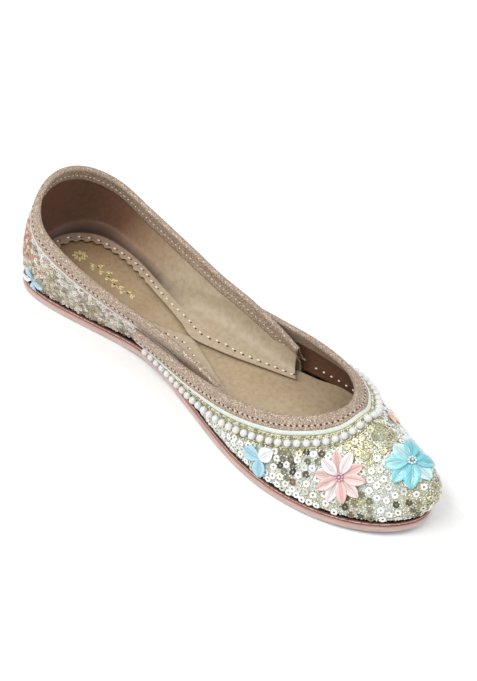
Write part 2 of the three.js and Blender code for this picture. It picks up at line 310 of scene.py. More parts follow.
# ------------------------------------------------------------------------------- midsole
# The midsole is a thinner layer stuck on the outsole. Its edge is foiled copper and marked
# with a fine wheel; the upper half, next to the shoe, is painted dark as the gap's shade, with a paler
# line in it.
MIDSOLE_THICK = 2
MIDSOLE_INSET = 0.4
MIDSOLE_ROUNDING = 0.45
MIDSOLE_LEVEL = OUTSOLE_THICK + GAP
WHEEL_PITCH = 1.3

# Copper foil on leather: bright where it is whole, browner where it is rubbed through.
copper_foil, tree = material("copper_foil_on_leather")
place = add(tree, "ShaderNodeTexCoord").outputs["Object"]
height = add(tree, "ShaderNodeAttribute", attribute_name="height").outputs["Fac"]
run = add(tree, "ShaderNodeAttribute", attribute_name="run").outputs["Fac"]
rubbed = add(tree, "ShaderNodeTexNoise", {"Vector": place, "Scale": 900.0,
                                          "Detail": 3.0}).outputs[0]
turned = add(tree, "ShaderNodeMath", {0: run, 1: 2 * math.pi / WHEEL_PITCH},
             operation="MULTIPLY").outputs[0]
wheeled = add(tree, "ShaderNodeMath", {0: turned}, operation="SINE").outputs[0]
foil = ramp(tree, rubbed, [(0.35, "a57c6f"), (0.62, "dfbcb0")])
# Painted gap shade: this height ramp darkens the upper half, darkest at the top, with a paler line
# between; it also darkens the lowest edge.
line = ramp(tree, height, [(0.0, "8a6358"), (0.12, "8a6358"), (0.2, "ffffff"), (0.5, "ffffff"),
                           (0.58, "3c2219"), (0.68, "3c2219"), (0.74, "a88274"),
                           (0.82, "a88274"), (0.9, "2c170f")])
lined = add(tree, "ShaderNodeMixRGB", {"Fac": 1.0, "Color1": foil, "Color2": line},
            blend_type="MULTIPLY").outputs[0]
gloss = ramp(tree, rubbed, [(0.35, 0.5), (0.6, 0.32)])
marks = add(tree, "ShaderNodeMath", {0: wheeled, 1: 0.5, 2: rubbed},
            operation="MULTIPLY_ADD").outputs[0]
relief = add(tree, "ShaderNodeBump", {"Height": marks, "Distance": 0.00015})
surface(tree, {"Base Color": lined, "Roughness": gloss, "Metallic": 0.55,
               "Normal": relief.outputs[0]})

finish_piece(
    sole_layer(MIDSOLE_LEVEL, MIDSOLE_THICK, lambda x: MIDSOLE_INSET, MIDSOLE_ROUNDING),
    "midsole_foiled_edge", [copper_foil], replaces="midsole")

# -------------------------------------------------------------------------------- insole
# The insole is a soft board covered in smooth tan lining leather. It lies inside the walls
# and carries a small gold print at the heel, here a plain flower and a leafy sprig.
INSOLE_THICK = 3
INSOLE_ROUNDING = 0.6
UPPER_INSET = 1.4
VAMP_WALL = 2.2
QUARTER_WALL = 2
INSOLE_INSET = UPPER_INSET + VAMP_WALL + 0.9
INSOLE_INSET_DOUBLE = UPPER_INSET + VAMP_WALL + QUARTER_WALL + 1.6
DOUBLE_WALL = {"start": 70, "full": 90, "fade": 152, "end": 168}
UPPER_LEVEL = MIDSOLE_LEVEL + MIDSOLE_THICK + GAP
INSOLE_TOP = UPPER_LEVEL + INSOLE_THICK


def insole_inset(x):
    """The insole stands further in where the wall beside it is double."""
    double = smooth_ramp(x, DOUBLE_WALL["start"], DOUBLE_WALL["full"])
    double = double - smooth_ramp(x, DOUBLE_WALL["fade"], DOUBLE_WALL["end"])
    return float(INSOLE_INSET + (INSOLE_INSET_DOUBLE - INSOLE_INSET) * double)


def tan_leather(name, dark, middle, pale, roughness, heel="ffffff"):
    """Smooth lining leather: cloudy dye, fine pores, a soft sheen, and, where a heel colour is given,
    painted shade that darkens it towards the heel.
    """
    made, tree = material(name)
    place = add(tree, "ShaderNodeTexCoord").outputs["Object"]
    cloud = add(tree, "ShaderNodeTexNoise", {"Vector": place, "Scale": 28.0, "Detail": 3.0,
                                             "Roughness": 0.55}).outputs[0]
    pores = add(tree, "ShaderNodeTexVoronoi", {"Vector": place, "Scale": 1400.0}).outputs[0]
    grain = add(tree, "ShaderNodeTexNoise", {"Vector": place, "Scale": 420.0,
                                             "Detail": 6.0}).outputs[0]
    dye = ramp(tree, cloud, [(0.3, dark), (0.5, middle), (0.72, pale)])
    speck = ramp(tree, grain, [(0.3, "e6dcd0"), (0.6, "ffffff")])
    toned = add(tree, "ShaderNodeMixRGB", {"Fac": 0.7, "Color1": dye, "Color2": speck},
                blend_type="MULTIPLY").outputs[0]
    forward = add(tree, "ShaderNodeSeparateXYZ", {"Vector": place}).outputs["X"]
    from_heel = add(tree, "ShaderNodeMapRange", {"Value": forward, "From Min": -0.115,
                                                 "From Max": -0.03}).outputs[0]
    # The heel colour is painted shade: it multiplies in at the heel and fades out towards the waist.
    tint = ramp(tree, from_heel, [(0.0, heel), (1.0, "ffffff")])
    toned = add(tree, "ShaderNodeMixRGB", {"Fac": 1.0, "Color1": toned, "Color2": tint},
                blend_type="MULTIPLY").outputs[0]
    both = add(tree, "ShaderNodeMath", {0: pores, 1: grain}, operation="ADD").outputs[0]
    relief = add(tree, "ShaderNodeBump", {"Height": both, "Distance": 0.00012,
                                          "Strength": 0.35})
    surface(tree, {"Base Color": toned, "Roughness": roughness,
                   "Normal": relief.outputs[0]})
    return made


# cdbcab is the insole's painted shade, darkening it towards the heel.
insole_tan = tan_leather("tan_insole_leather_heel_shaded", "a69276", "b09d81", "b9a78c", 0.46, "cdbcab")
finish_piece(
    sole_layer(UPPER_LEVEL, INSOLE_THICK, insole_inset, INSOLE_ROUNDING),
    "insole_leather", [insole_tan], replaces="insole")

# The print: flat leaves of gold foil on the leather, in a ring and along a curved sprig.
PRINT_LIFT = 0.02
PRINT_THICK = 0.08
FLOWER_CENTRE = (21, 2.5)
PETAL_SIZE = (3, 1.9)
STALK_SIZE = (3.2, 0.8)
LEAF_SIZE = (4.4, 1.9)
LEAF_SPREAD = 0.95
FLOWER_PETALS = 8
STEM_START = (28, 2)
STEM_LENGTH = 31
STEM_SWING = 1.5
STEM_LEAVES = 11
LEAF_POINTS = 16

# Gold foil print: bright and a little broken, with the leather's grain in it.
gold_foil, tree = material("gold_foil_print")
place = add(tree, "ShaderNodeTexCoord").outputs["Object"]
broken = add(tree, "ShaderNodeTexNoise", {"Vector": place, "Scale": 1500.0}).outputs[0]
surface(tree, {"Base Color": ramp(tree, broken, [(0.38, "a8924c"), (0.6, "f6ecb4")]),
               "Roughness": ramp(tree, broken, [(0.35, 0.5), (0.6, 0.3)]), "Metallic": 0.25})


def printed_leaf(bm, x, y, length, width, angle):
    """One flat leaf of foil lying on the insole, with its root at x, y."""
    leaf = bmesh.ops.create_circle(bm, cap_ends=True, segments=LEAF_POINTS, radius=1)["verts"]
    for vert in leaf:
        along = (vert.co.x + 1) / 2
        across = vert.co.y * width / 2 * (1.2 - 0.5 * along)
        turned = (x + math.cos(angle) * along * length - math.sin(angle) * across,
                  y + math.sin(angle) * along * length + math.cos(angle) * across)
        rise = float(ground_rise(turned[0])) + INSOLE_TOP + PRINT_LIFT
        vert.co = to_shoe([turned[0], turned[1], rise])


bm = bmesh.new()
for k in range(FLOWER_PETALS):
    angle = 2 * math.pi * k / FLOWER_PETALS
    root = (FLOWER_CENTRE[0] + math.cos(angle), FLOWER_CENTRE[1] + math.sin(angle))
    printed_leaf(bm, *root, *PETAL_SIZE, angle)
for k in range(STEM_LEAVES):
    t = (k + 0.5) / STEM_LEAVES
    x = STEM_START[0] + STEM_LENGTH * t
    y = STEM_START[1] + STEM_SWING * math.sin(2 * math.pi * t)
    heading = math.atan2(STEM_SWING * 2 * math.pi / STEM_LENGTH * math.cos(2 * math.pi * t), 1)
    printed_leaf(bm, x - 1.3, y, *STALK_SIZE, heading)
    side = 1 if k % 2 else -1
    length, width = LEAF_SIZE
    printed_leaf(bm, x, y, length * (1 - 0.45 * t), width, heading + side * LEAF_SPREAD)
for face in bm.faces:
    if face.normal.z < 0:
        face.normal_flip()
thick = bmesh.ops.extrude_face_region(bm, geom=bm.faces[:])["geom"]
bmesh.ops.translate(bm, verts=[p for p in thick if isinstance(p, bmesh.types.BMVert)],
                    vec=(0, 0, PRINT_THICK * MM))
bmesh.ops.recalc_face_normals(bm, faces=bm.faces[:])
finish_piece(bm, "gold_print", [gold_foil], shade_smooth=False)

# ---------------------------------------------------------------------------- vamp shell
# The vamp is cut from net worked on a glitter ground, lined with brown leather, and
# lasted over the toes. Each rib is a Bezier curve from the sole's edge to the throat's rim.
RIB_KEYS = ("along", "x", "y", "z", "rise", "flare", "share", "lean", "drop")
VAMP_RIBS = [
    (0.39, 86, 28.4, 24.5, 7, 3.2, 0, 1.5, 7),
    (0.455, 104, 28.6, 24.5, 7, 3.2, 0, 1.5, 7),
    (0.53, 126, 30.3, 26, 8, 3, 0, 2, 6.5),
    (0.61, 150, 30.4, 29, 9, 2.5, 0.2, 2, 6),
    (0.69, 172, 25.5, 33, 7.5, 1.3, 0.3, 1, 5),
    (0.77, 185, 17, 36, 7, 0.6, 0.32, 0, 5),
    (0.85, 190.8, 9.5, 37.5, 8.5, 0.4, 0.28, 0, 6),
    (0.93, 192.6, 4, 38, 14.5, 5.2, 0.4, 0, 5),
    (1, 193, 0, 38.2, 25, 14, 0.81, 0, 1.3),
]
RIM_SAMPLES = 900
RIM_SEARCH = 12


class Wall:
    """The outer face of a wall of the upper, by place t counted in ribs and height v."""

    def __init__(self, rows, keys, middle, thick):
        table = np.array(rows, float)
        flip = np.array([-1 if key in ("y", "edge_y") else 1 for key in keys])
        other = table[:-1][::-1] * flip if middle else table[1:][::-1] * flip
        other[:, 0] = 2 * middle - (table[:-1] if middle else table[1:])[::-1, 0]
        self.table = np.vstack([table, other] if middle else [other, table])
        self.keys = keys
        self.last = len(self.table) - 1
        self.thick = thick
        self.rim = self.point(np.linspace(0, self.last, RIM_SAMPLES), 1.0)

    def rib(self, t):
        """Catmull-Rom blend of every column at t."""
        t = np.clip(np.asarray(t, float), 0, self.last)
        i = np.minimum(t.astype(int), self.last - 1)
        u = (t - i)[..., None]
        p1, p2 = self.table[i], self.table[i + 1]
        p0 = np.where((i > 0)[..., None], self.table[np.maximum(i - 1, 0)], 2 * p1 - p2)
        after = np.minimum(i + 2, self.last)
        p3 = np.where((i + 2 <= self.last)[..., None], self.table[after], 2 * p2 - p1)
        a, b, d = (p2 - p0) / 2, (p3 - p1) / 2, p2 - p1
        row = p1 + u * (a + u * (3 * d - 2 * a - b + u * (a + b - 2 * d)))
        return {key: row[..., k] for k, key in enumerate(self.keys)}

    def controls(self, t):
        """The four control points of the rib at t, and the way out of the sole's edge."""
        rib = self.rib(t)
        edge, out = edge_point(rib["along"])
        inset = rib.get("inset", UPPER_INSET)
        foot_xy = edge - out * np.asarray(inset)[..., None]
        foot = np.concatenate([foot_xy, (ground_rise(foot_xy[..., 0]) + UPPER_LEVEL)[..., None]], -1)
        rim = np.stack([rib["x"], rib["y"], rib["z"]], -1)
        out = np.concatenate([out, np.zeros_like(out[..., :1])], -1)
        up = np.array([0, 0, 1.0])
        low = foot + out * rib["flare"][..., None] + up * rib["rise"][..., None]
        share = np.asarray(rib.get("share", rib["rise"] * 0))[..., None]
        high = rim + (foot - rim) * share * [1, 1, 0] + out * rib["lean"][..., None]
        high = high - up * rib["drop"][..., None]
        return foot, low, high, rim, out

    def point(self, t, v):
        foot, low, high, rim, _ = self.controls(t)
        v = np.asarray(v, float)[..., None]
        w = 1 - v
        return w ** 3 * foot + 3 * w * w * v * low + 3 * w * v * v * high + v ** 3 * rim

    def frame(self, t, v):
        """Point, outward normal and the way up the wall."""
        step = 1e-3
        t = np.asarray(t, float)
        v = np.asarray(v, float)
        across = self.point(np.minimum(t + step, self.last), v)
        across = across - self.point(np.maximum(t - step, 0), v)
        up = self.point(t, np.minimum(v + step, 1)) - self.point(t, np.maximum(v - step, 0))
        up /= np.linalg.norm(up, axis=-1, keepdims=True)
        out = np.cross(up, across)
        out /= np.linalg.norm(out, axis=-1, keepdims=True)
        return self.point(t, v), out, up

    def to_rim(self, points):
        """Distance from points to the nearest place on the rim."""
        flat = points.reshape(-1, 3)
        parts = np.array_split(flat, len(flat) // 400 + 1)
        near = [np.sqrt(((p[:, None] - self.rim) ** 2).sum(-1).min(1)) for p in parts]
        return np.concatenate(near).reshape(points.shape[:-1])

    def below_rim(self, t, distance):
        """The height v at t that lies the given distance from the rim."""
        t = np.asarray(t, float)
        low, high = np.zeros_like(t), np.ones_like(t)
        for _ in range(RIM_SEARCH):
            v = (low + high) / 2
            near = self.to_rim(self.point(t, v)) < distance
            low, high = np.where(near, low, v), np.where(near, v, high)
        return (low + high) / 2

    def trail(self, distance, pitch):
        """Places t and v, a pitch apart, along the line that lies distance below the rim."""
        t = np.linspace(0, self.last, RIM_SAMPLES)
        v = self.below_rim(t, distance) if distance else np.ones_like(t)
        steps = np.linalg.norm(np.diff(self.point(t, v), axis=0), axis=1)
        run = np.concatenate([[0], np.cumsum(steps)])
        count = max(1, round(run[-1] / pitch))
        target = (np.arange(count) + 0.5) / count * run[-1]
        t_even = np.interp(target, run, t)
        return t_even, np.interp(t_even, t, v)

    def beside(self, t, v, across, upward):
        """The places t and v that lie across and upward, in mm, from one place on the wall."""
        start, out, up = self.frame(t, v)
        side = np.cross(up, out)
        t, v = np.full_like(across, t), np.full_like(across, v)
        step = 1e-3
        for _ in range(6):
            here = self.point(t, v)
            by_t = (self.point(np.minimum(t + step, self.last), v) - here) / step
            by_v = (here - self.point(t, v - step)) / step
            miss = start + across[:, None] * side + upward[:, None] * up - here
            a, b, c, d = by_t @ side, by_v @ side, by_t @ up, by_v @ up
            e, f = miss @ side, miss @ up
            det = a * d - b * c
            t = np.clip(t + (e * d - b * f) / det, 0, self.last)
            v = np.clip(v + (a * f - e * c) / det, 0.002, 1)
        return t, v


vamp = Wall(VAMP_RIBS, RIB_KEYS, 1, VAMP_WALL)


def mapped_grid(columns, rows, place):
    """A grid whose u and w, from 0 to 1, are laid out by place; it gives points and normals."""
    bm = bmesh.new()
    bmesh.ops.create_grid(bm, x_segments=columns, y_segments=rows, size=1)
    u = np.array([(vert.co.x + 1) / 2 for vert in bm.verts])
    w = np.array([(vert.co.y + 1) / 2 for vert in bm.verts])
    points, normals = place(u, w)
    down = bm.verts.layers.float.new("down")
    for vert, point, share in zip(bm.verts, to_shoe(points), w):
        vert.co = point
        vert[down] = share
    bm.normal_update()
    bm.verts.ensure_lookup_table()
    agree = sum(Vector(normals[v.index]).dot(v.normal) for v in bm.verts)
    if agree < 0:
        bmesh.ops.reverse_faces(bm, faces=bm.faces[:])
    return bm


def thicken(piece, thick, inner=0, rim=0):
    """Gives a sheet its wall, inwards from the face that was modelled."""
    solid = piece.modifiers.new("wall", "SOLIDIFY")
    solid.thickness = thick * MM
    solid.offset = -1
    solid.use_even_offset = True
    solid.material_offset = inner
    solid.material_offset_rim = rim


# Glitter ground under the net: pale mint and champagne flakes about 0.4 mm wide.
glitter_ground, tree = material("mint_glitter_ground")
place = add(tree, "ShaderNodeTexCoord").outputs["Object"]
flake = add(tree, "ShaderNodeTexVoronoi", {"Vector": place, "Scale": 2300.0})
patch = add(tree, "ShaderNodeTexNoise", {"Vector": place, "Scale": 70.0, "Detail": 3.0}).outputs[0]
flake_value = add(tree, "ShaderNodeSeparateColor", {"Color": flake.outputs["Color"]}).outputs[0]
mint = ramp(tree, flake_value, [(0.0, "979e90"), (0.4, "c6cdc4"), (0.75, "e6eae4"), (1.0, "b9b594")])
gold = ramp(tree, flake_value, [(0.0, "8c845c"), (0.5, "bdb690"), (1.0, "dcd7ba")])
mix = add(tree, "ShaderNodeMixRGB", {"Fac": ramp(tree, patch, [(0.45, 0.0), (0.62, 1.0)]),
                                     "Color1": mint, "Color2": gold}).outputs[0]
relief = add(tree, "ShaderNodeBump", {"Height": flake_value, "Distance": 0.0003,
                                      "Strength": 0.7})
surface(tree, {"Base Color": mix, "Roughness": ramp(tree, flake_value, [(0.2, 0.55), (0.9, 0.25)]),
               "Metallic": ramp(tree, flake_value, [(0.55, 0.0), (0.95, 0.5)]),
               "Normal": relief.outputs[0]})
# The vamp lining is dark brown, partly its own colour and partly painted shade inside the toe.
lining_brown_and_shade = tan_leather("brown_lining_leather_and_shade", "5a3c2b", "674735", "73523d", 0.5)

VAMP_COLUMNS = 256
VAMP_ROWS = 36
SHELL_SINK = 0.05


def vamp_face(u, w):
    point, out, _ = vamp.frame(u * vamp.last, w)
    return point - out * SHELL_SINK, out


vamp_shell = finish_piece(mapped_grid(VAMP_COLUMNS, VAMP_ROWS, vamp_face), "vamp_shell",
                          [glitter_ground, lining_brown_and_shade], replaces="vamp")
thicken(vamp_shell, VAMP_WALL - 2 * SHELL_SINK, inner=1, rim=1)

# -------------------------------------------------------------------------- vamp binding
# A strip of champagne glitter leather is folded over the raw edge of the throat and sewn
# through all layers, in one row of running stitches along its lower part.
BINDING_OUTSIDE = 6.1
BINDING_INSIDE = 7.5
BINDING_THICK = 0.45
BINDING_LIFT = 0.5
BINDING_LIFT_TIGHT = 0.25
BINDING_FOLD = 1.1
BINDING_SPLIT = (0.42, 0.58)
BINDING_COLUMNS = 400
BINDING_ROWS = 24
VAMP_OVERLAP_END = 146

# Glitter leather: a rosy taupe ground, closely set with fine pale and dark flakes.
glitter_leather, tree = material("champagne_glitter_leather")
place = add(tree, "ShaderNodeTexCoord").outputs["Object"]
flake = add(tree, "ShaderNodeTexVoronoi", {"Vector": place, "Scale": 2600.0})
flake_value = add(tree, "ShaderNodeSeparateColor", {"Color": flake.outputs["Color"]}).outputs[0]
dye = ramp(tree, flake_value, [(0.0, "7b6759"), (0.35, "9c8775"), (0.75, "ad9885"), (1.0, "d8c9b8")])
relief = add(tree, "ShaderNodeBump", {"Height": flake_value, "Distance": 0.00025,
                                      "Strength": 0.8})
surface(tree, {"Base Color": dye, "Roughness": ramp(tree, flake_value, [(0.5, 0.65), (1.0, 0.4)]),
               "Metallic": ramp(tree, flake_value, [(0.6, 0.05), (1.0, 0.4)]),
               "Normal": relief.outputs[0]})


def binding(wall, outside, inside, lift_outside, lift_inside):
    """A strip folded over a wall's rim; each lift is a function of the length x."""

    def place(u, w):
        t = u * wall.last
        start, end = BINDING_SPLIT
        outer = np.clip(1 - w / start, 0, 1) * outside
        inner = np.clip((w - end) / (1 - end), 0, 1) * inside
        leg = outer + inner
        v = np.where(leg > 0.01, wall.below_rim(t, leg), 1)
        point, out, up = wall.frame(t, v)
        turn = np.clip((w - start) / (end - start), 0, 1) * math.pi
        lift = np.where(turn < math.pi / 2, lift_outside(point[:, 0]), lift_inside(point[:, 0]))
        reach = (wall.thick / 2 + lift) * np.cos(turn)
        centre = point - out * wall.thick / 2
        folded = centre + out * reach[:, None] + up * (BINDING_FOLD * np.sin(turn))[:, None]
        return folded, out * np.cos(turn)[:, None] + up * np.sin(turn)[:, None]

    return mapped_grid(BINDING_COLUMNS, BINDING_ROWS, place)


def vamp_binding_lift(x):
    """The leg inside the throat is pared thin where the quarter lies against it."""
    free = smooth_ramp(x, VAMP_OVERLAP_END, VAMP_OVERLAP_END + 10)
    return BINDING_LIFT_TIGHT + (BINDING_LIFT - BINDING_LIFT_TIGHT) * free


vamp_binding = finish_piece(
    binding(vamp, BINDING_OUTSIDE, BINDING_INSIDE, lambda x: x * 0 + BINDING_LIFT,
            vamp_binding_lift),
    "vamp_binding", [glitter_leather])
thicken(vamp_binding, BINDING_THICK)

# ------------------------------------------------------------------------- vamp stitches
# One row of beige waxed thread holds the binding, in short running stitches. Each goes down
# through a punched hole, so a dark dot shows between every two stitches.
STITCH_DISTANCE = 4.0
STITCH_PITCH = 2.7
STITCH_LENGTH = 1.3
STITCH_WIDTH = 0.6
STITCH_HEIGHT = 0.4
STITCH_LIFT = 0.05
HOLE_LIFT = 0.03
HOLE_RADIUS = 0.58


def seats(points, outs, ups, spins=None, tilts=None):
    """A place in the shoe for each point: Z out of the wall, Y up it, in millimetres."""
    made = []
    for k, (point, out, up) in enumerate(zip(to_shoe(points), outs, ups)):
        z = Vector(out).normalized()
        x = Vector(up).cross(z).normalized()
        seat = Matrix((x, z.cross(x), z)).transposed().to_4x4()
        if spins is not None:
            seat = seat @ Matrix.Rotation(spins[k], 4, "Z")
        if tilts is not None:
            seat = seat @ Matrix.Rotation(tilts[k], 4, "X")
        made.append(Matrix.Translation(point) @ seat @ Matrix.Scale(MM, 4))
    return made


def on_wall(wall, t, v, lift, spins=None, tilts=None, inside=False):
    """Seats on the outer face of a wall, or on the inner one."""
    point, out, up = wall.frame(t, v)
    if inside:
        return seats(point - out * (wall.thick + lift), -out, up, spins, tilts)
    return seats(point + out * lift, out, up, spins, tilts)


def joined(template, places, shades=None):
    """One bmesh with a copy of the template at every place, each with its own shade."""
    source = bpy.data.meshes.new("template")
    template.to_mesh(source)
    template.free()
    bm = bmesh.new()
    for place in places:
        copy = source.copy()
        copy.transform(place)
        bm.from_mesh(copy, face_normals=False, vertex_normals=False)
        bpy.data.meshes.remove(copy)
    if shades is not None:
        layer = bm.verts.layers.float.new("shade")
        each = len(source.vertices)
        for index, vert in enumerate(bm.verts):
            vert[layer] = shades[index // each]
    bm.normal_update()
    return bm


def bead_template(across, along, high, segments=8, rings=6):
    """A rounded bead with those full sizes along X, Y and Z."""
    bm = bmesh.new()
    bmesh.ops.create_uvsphere(bm, u_segments=segments, v_segments=rings, radius=0.5)
    bmesh.ops.scale(bm, vec=(across, along, high), verts=bm.verts)
    return bm


def hole_template():
    """A punched hole: a low dark button, just proud of the leather, that stands for the shadow inside
    the hole.
    """
    bm = bmesh.new()
    bmesh.ops.create_cone(bm, cap_ends=True, segments=8, radius1=HOLE_RADIUS,
                          radius2=HOLE_RADIUS * 0.7, depth=0.12)
    return bm


# Waxed thread: twisted plies show as fine slanting lines.
beige_thread, tree = material("waxed_beige_thread")
place = add(tree, "ShaderNodeTexCoord").outputs["Object"]
plies = add(tree, "ShaderNodeTexWave", {"Vector": place, "Scale": 900.0, "Distortion": 1.0},
            bands_direction="DIAGONAL").outputs["Fac"]
surface(tree, {"Base Color": ramp(tree, plies, [(0.2, "bfae98"), (0.8, "eadfce")]),
               "Roughness": 0.6})
# The shadow in a punched hole: dark brown and dull.
hole_dark, tree = material("punched_hole_shadow")
place = add(tree, "ShaderNodeTexCoord").outputs["Object"]
torn = add(tree, "ShaderNodeTexNoise", {"Vector": place, "Scale": 2000.0}).outputs[0]
surface(tree, {"Base Color": ramp(tree, torn, [(0.3, "2c1e18"), (0.7, "4a362a")]),
               "Roughness": 0.9})

t, v = vamp.trail(STITCH_DISTANCE, STITCH_PITCH)
stitches = joined(bead_template(STITCH_LENGTH, STITCH_WIDTH, STITCH_HEIGHT),
                  on_wall(vamp, t, v, BINDING_LIFT + STITCH_LIFT))
finish_piece(stitches, "vamp_binding_stitches", [beige_thread])
t, v = (t[1:] + t[:-1]) / 2, (v[1:] + v[:-1]) / 2
holes = joined(hole_template(), on_wall(vamp, t, v, BINDING_LIFT + HOLE_LIFT))
finish_piece(holes, "vamp_binding_holes", [hole_dark])

# ----------------------------------------------------------------------- throat trimming
# Below the binding come a mint satin piping, two lines of twisted gold thread, a row of
# pearls, a third line of the thread and a fringe of tiny gold beads, all sewn down.
SATIN_BAND = (6.0, 8.4)
SATIN_LIFT = 0.3
SATIN_THICK = 0.28
SATIN_ROWS = 6
SATIN_PUFF = 0.35
PEARL_DISTANCE = 11.8
PEARL_DIAMETER = 3.7
PEARL_PITCH = 4.35
ROPES = (
    {"distance": 9.0, "pitch": 0.95, "size": (1.6, 0.8, 1.0)},
    {"distance": 9.8, "pitch": 1.05, "size": (1.5, 0.8, 0.8)},
    {"distance": 13.9, "pitch": 0.95, "size": (1.6, 0.8, 1.0)},
)
FRINGE = {"distance": 14.9, "pitch": 1.5, "size": (1.2, 1.2, 1.0)}
ROPE_SLANT = 0.7


def band(wall, near, far, lift, rows, puff=0):
    """A flat strip on a wall between two distances below its rim, puffed in the middle."""

    def place(u, w):
        t = u * wall.last
        v = wall.below_rim(t, near + (far - near) * w)
        point, out, _ = wall.frame(t, v)
        high = lift + puff * np.sin(np.pi * w)
        return point + out * high[:, None], out

    return mapped_grid(BINDING_COLUMNS, rows, place)


def satin_finish(name, deep, pale):
    """Satin piping: fine floats of thread, with a broad soft highlight and a little sheen."""
    made, tree = material(name)
    place = add(tree, "ShaderNodeTexCoord").outputs["Object"]
    floats = add(tree, "ShaderNodeTexNoise", {"Vector": place, "Scale": 1500.0}).outputs[0]
    surface(tree, {"Base Color": ramp(tree, floats, [(0.3, deep), (0.7, pale)]),
                   "Roughness": 0.45, "Sheen Weight": 0.2})
    return made


mint_satin = satin_finish("mint_satin_piping", "bcc3b8", "d9ddd4")
satin = finish_piece(band(vamp, *SATIN_BAND, SATIN_LIFT, SATIN_ROWS, puff=SATIN_PUFF),
                     "throat_satin_piping", [mint_satin])
thicken(satin, SATIN_THICK)

# Pearls: milky body with a hard coat, and a faint drift of grey from bead to bead.
pearl_lustre, tree = material("glass_pearl_lustre")
place = add(tree, "ShaderNodeTexCoord").outputs["Object"]
nacre = add(tree, "ShaderNodeTexNoise", {"Vector": place, "Scale": 60.0}).outputs[0]
surface(tree, {"Base Color": ramp(tree, nacre, [(0.35, "cecbc6"), (0.5, "d6d5d2"), (0.65, "cfd1d4")]),
               "Roughness": 0.14, "Coat Weight": 1.0, "Coat Roughness": 0.04,
               "Subsurface Weight": 0.1, "Subsurface Scale": 0.002})
t, v = vamp.trail(PEARL_DISTANCE, PEARL_PITCH)
pearls = joined(bead_template(PEARL_DIAMETER, PEARL_DIAMETER, PEARL_DIAMETER, 16, 10),
                on_wall(vamp, t, v, PEARL_DIAMETER * 0.4))
finish_piece(pearls, "throat_pearls", [pearl_lustre])

# Zari: flattened gilt wire wound on a core; greenish gold with bright facets.
gilt_zari, tree = material("green_gold_zari")
place = add(tree, "ShaderNodeTexCoord").outputs["Object"]
shade = add(tree, "ShaderNodeAttribute", attribute_name="shade").outputs["Fac"]
wound = add(tree, "ShaderNodeTexNoise", {"Vector": place, "Scale": 1400.0}).outputs[0]
mixed = add(tree, "ShaderNodeMath", {0: shade, 1: wound}, operation="MULTIPLY").outputs[0]
surface(tree, {"Base Color": ramp(tree, mixed, [(0.05, "9a946a"), (0.2, "cbc69c"), (0.45, "f2eed4")]),
               "Roughness": 0.3, "Metallic": 0.5})
random.seed(4)
zari = bmesh.new()
scratch = bpy.data.meshes.new("zari")
for line in (*ROPES, FRINGE):
    t, v = vamp.trail(line["distance"], line["pitch"])
    spins = [ROPE_SLANT] * len(t) if line is not FRINGE else None
    rope = joined(bead_template(*line["size"], 6, 4),
                  on_wall(vamp, t, v, line["size"][2] * 0.3, spins),
                  [random.random() for _ in t])
    rope.to_mesh(scratch)
    rope.free()
    zari.from_mesh(scratch)
finish_piece(zari, "throat_zari", [gilt_zari])

# --------------------------------------------------------------------- vamp petal flowers
# Flowers of stiff shiny petals, each folded along its rib, are sewn down at the root. The
# two whole ones are held by a ring of glass beads round a middle one.
PETAL_LONG_CUTS = 12
PETAL_CROSS_CUTS = 6
PETAL_THICK = 0.22
VAMP_PINK = [
    {"t": 9.92, "v": 0.43, "petals": 10, "length": 10.8, "width": 5.2, "root": 1.5, "turn": 0.35,
     "pale": (1, 3, 6)},
]
VAMP_CYAN = [
    {"t": 8.08, "v": 0.6, "petals": 8, "length": 10.2, "width": 6.6, "root": 1.2, "turn": 0.1,
     "pale": (2, 6)},
]
VAMP_BLUE = [
    {"t": 11.92, "v": 0.3, "length": 8.6, "width": 7.0, "root": 0.1, "headings": (3.0, 0.95, 5.05),
     "pale": (1,)},
]
VAMP_PEACH = [
    {"t": 5.9, "v": 0.6, "length": 6.4, "width": 3.6, "root": 0.8, "headings": (4.5, 5.6, 3.4),
     "pale": (1,)},
]


def petal_flowers(wall, flowers):
    """Sheets of folded petals lying on a wall; some petals have a paler shade."""
    bm = bmesh.new()
    shade = bm.verts.layers.float.new("shade")
    fold = bm.verts.layers.float.new("fold")
    reach_share = bm.verts.layers.float.new("reach")
    for flower in flowers:
        headings = flower.get("headings")
        if headings is None:
            count = flower["petals"]
            headings = [flower["turn"] + 2 * math.pi * k / count for k in range(count)]
        for k, heading in enumerate(headings):
            petal = bmesh.ops.create_grid(bm, x_segments=PETAL_LONG_CUTS,
                                          y_segments=PETAL_CROSS_CUTS, size=1)["verts"]
            a = np.array([(vert.co.x + 1) / 2 for vert in petal])
            b = np.array([vert.co.y for vert in petal])
            length = flower["length"] * random.uniform(0.9, 1.06)
            tone = random.uniform(0.75, 0.95) if k in flower["pale"] else random.uniform(0.05, 0.5)
            swell = 0.05 + 0.95 * np.sin(np.pi * np.minimum(a, 0.985) ** 1.05) ** 0.7
            half = flower["width"] / 2 * swell
            reach = flower["root"] + a * length
            across = reach * math.cos(heading) - b * half * math.sin(heading)
            upward = reach * math.sin(heading) + b * half * math.cos(heading)
            t, v = wall.beside(flower["t"], flower["v"], across, upward)
            point, out, _ = wall.frame(t, v)
            high = 0.7 + 0.35 * (k % 2) + 1.1 * np.abs(b) * swell + 0.9 * a * a
            points = to_shoe(point + out * high[:, None])
            for vert, place, side, share in zip(petal, points, np.abs(b), a):
                vert.co = place
                vert[shade] = tone
                vert[fold] = side
                vert[reach_share] = share
    bmesh.ops.recalc_face_normals(bm, faces=bm.faces[:])
    for face in bm.faces:
        face.normal_update()
    return bm


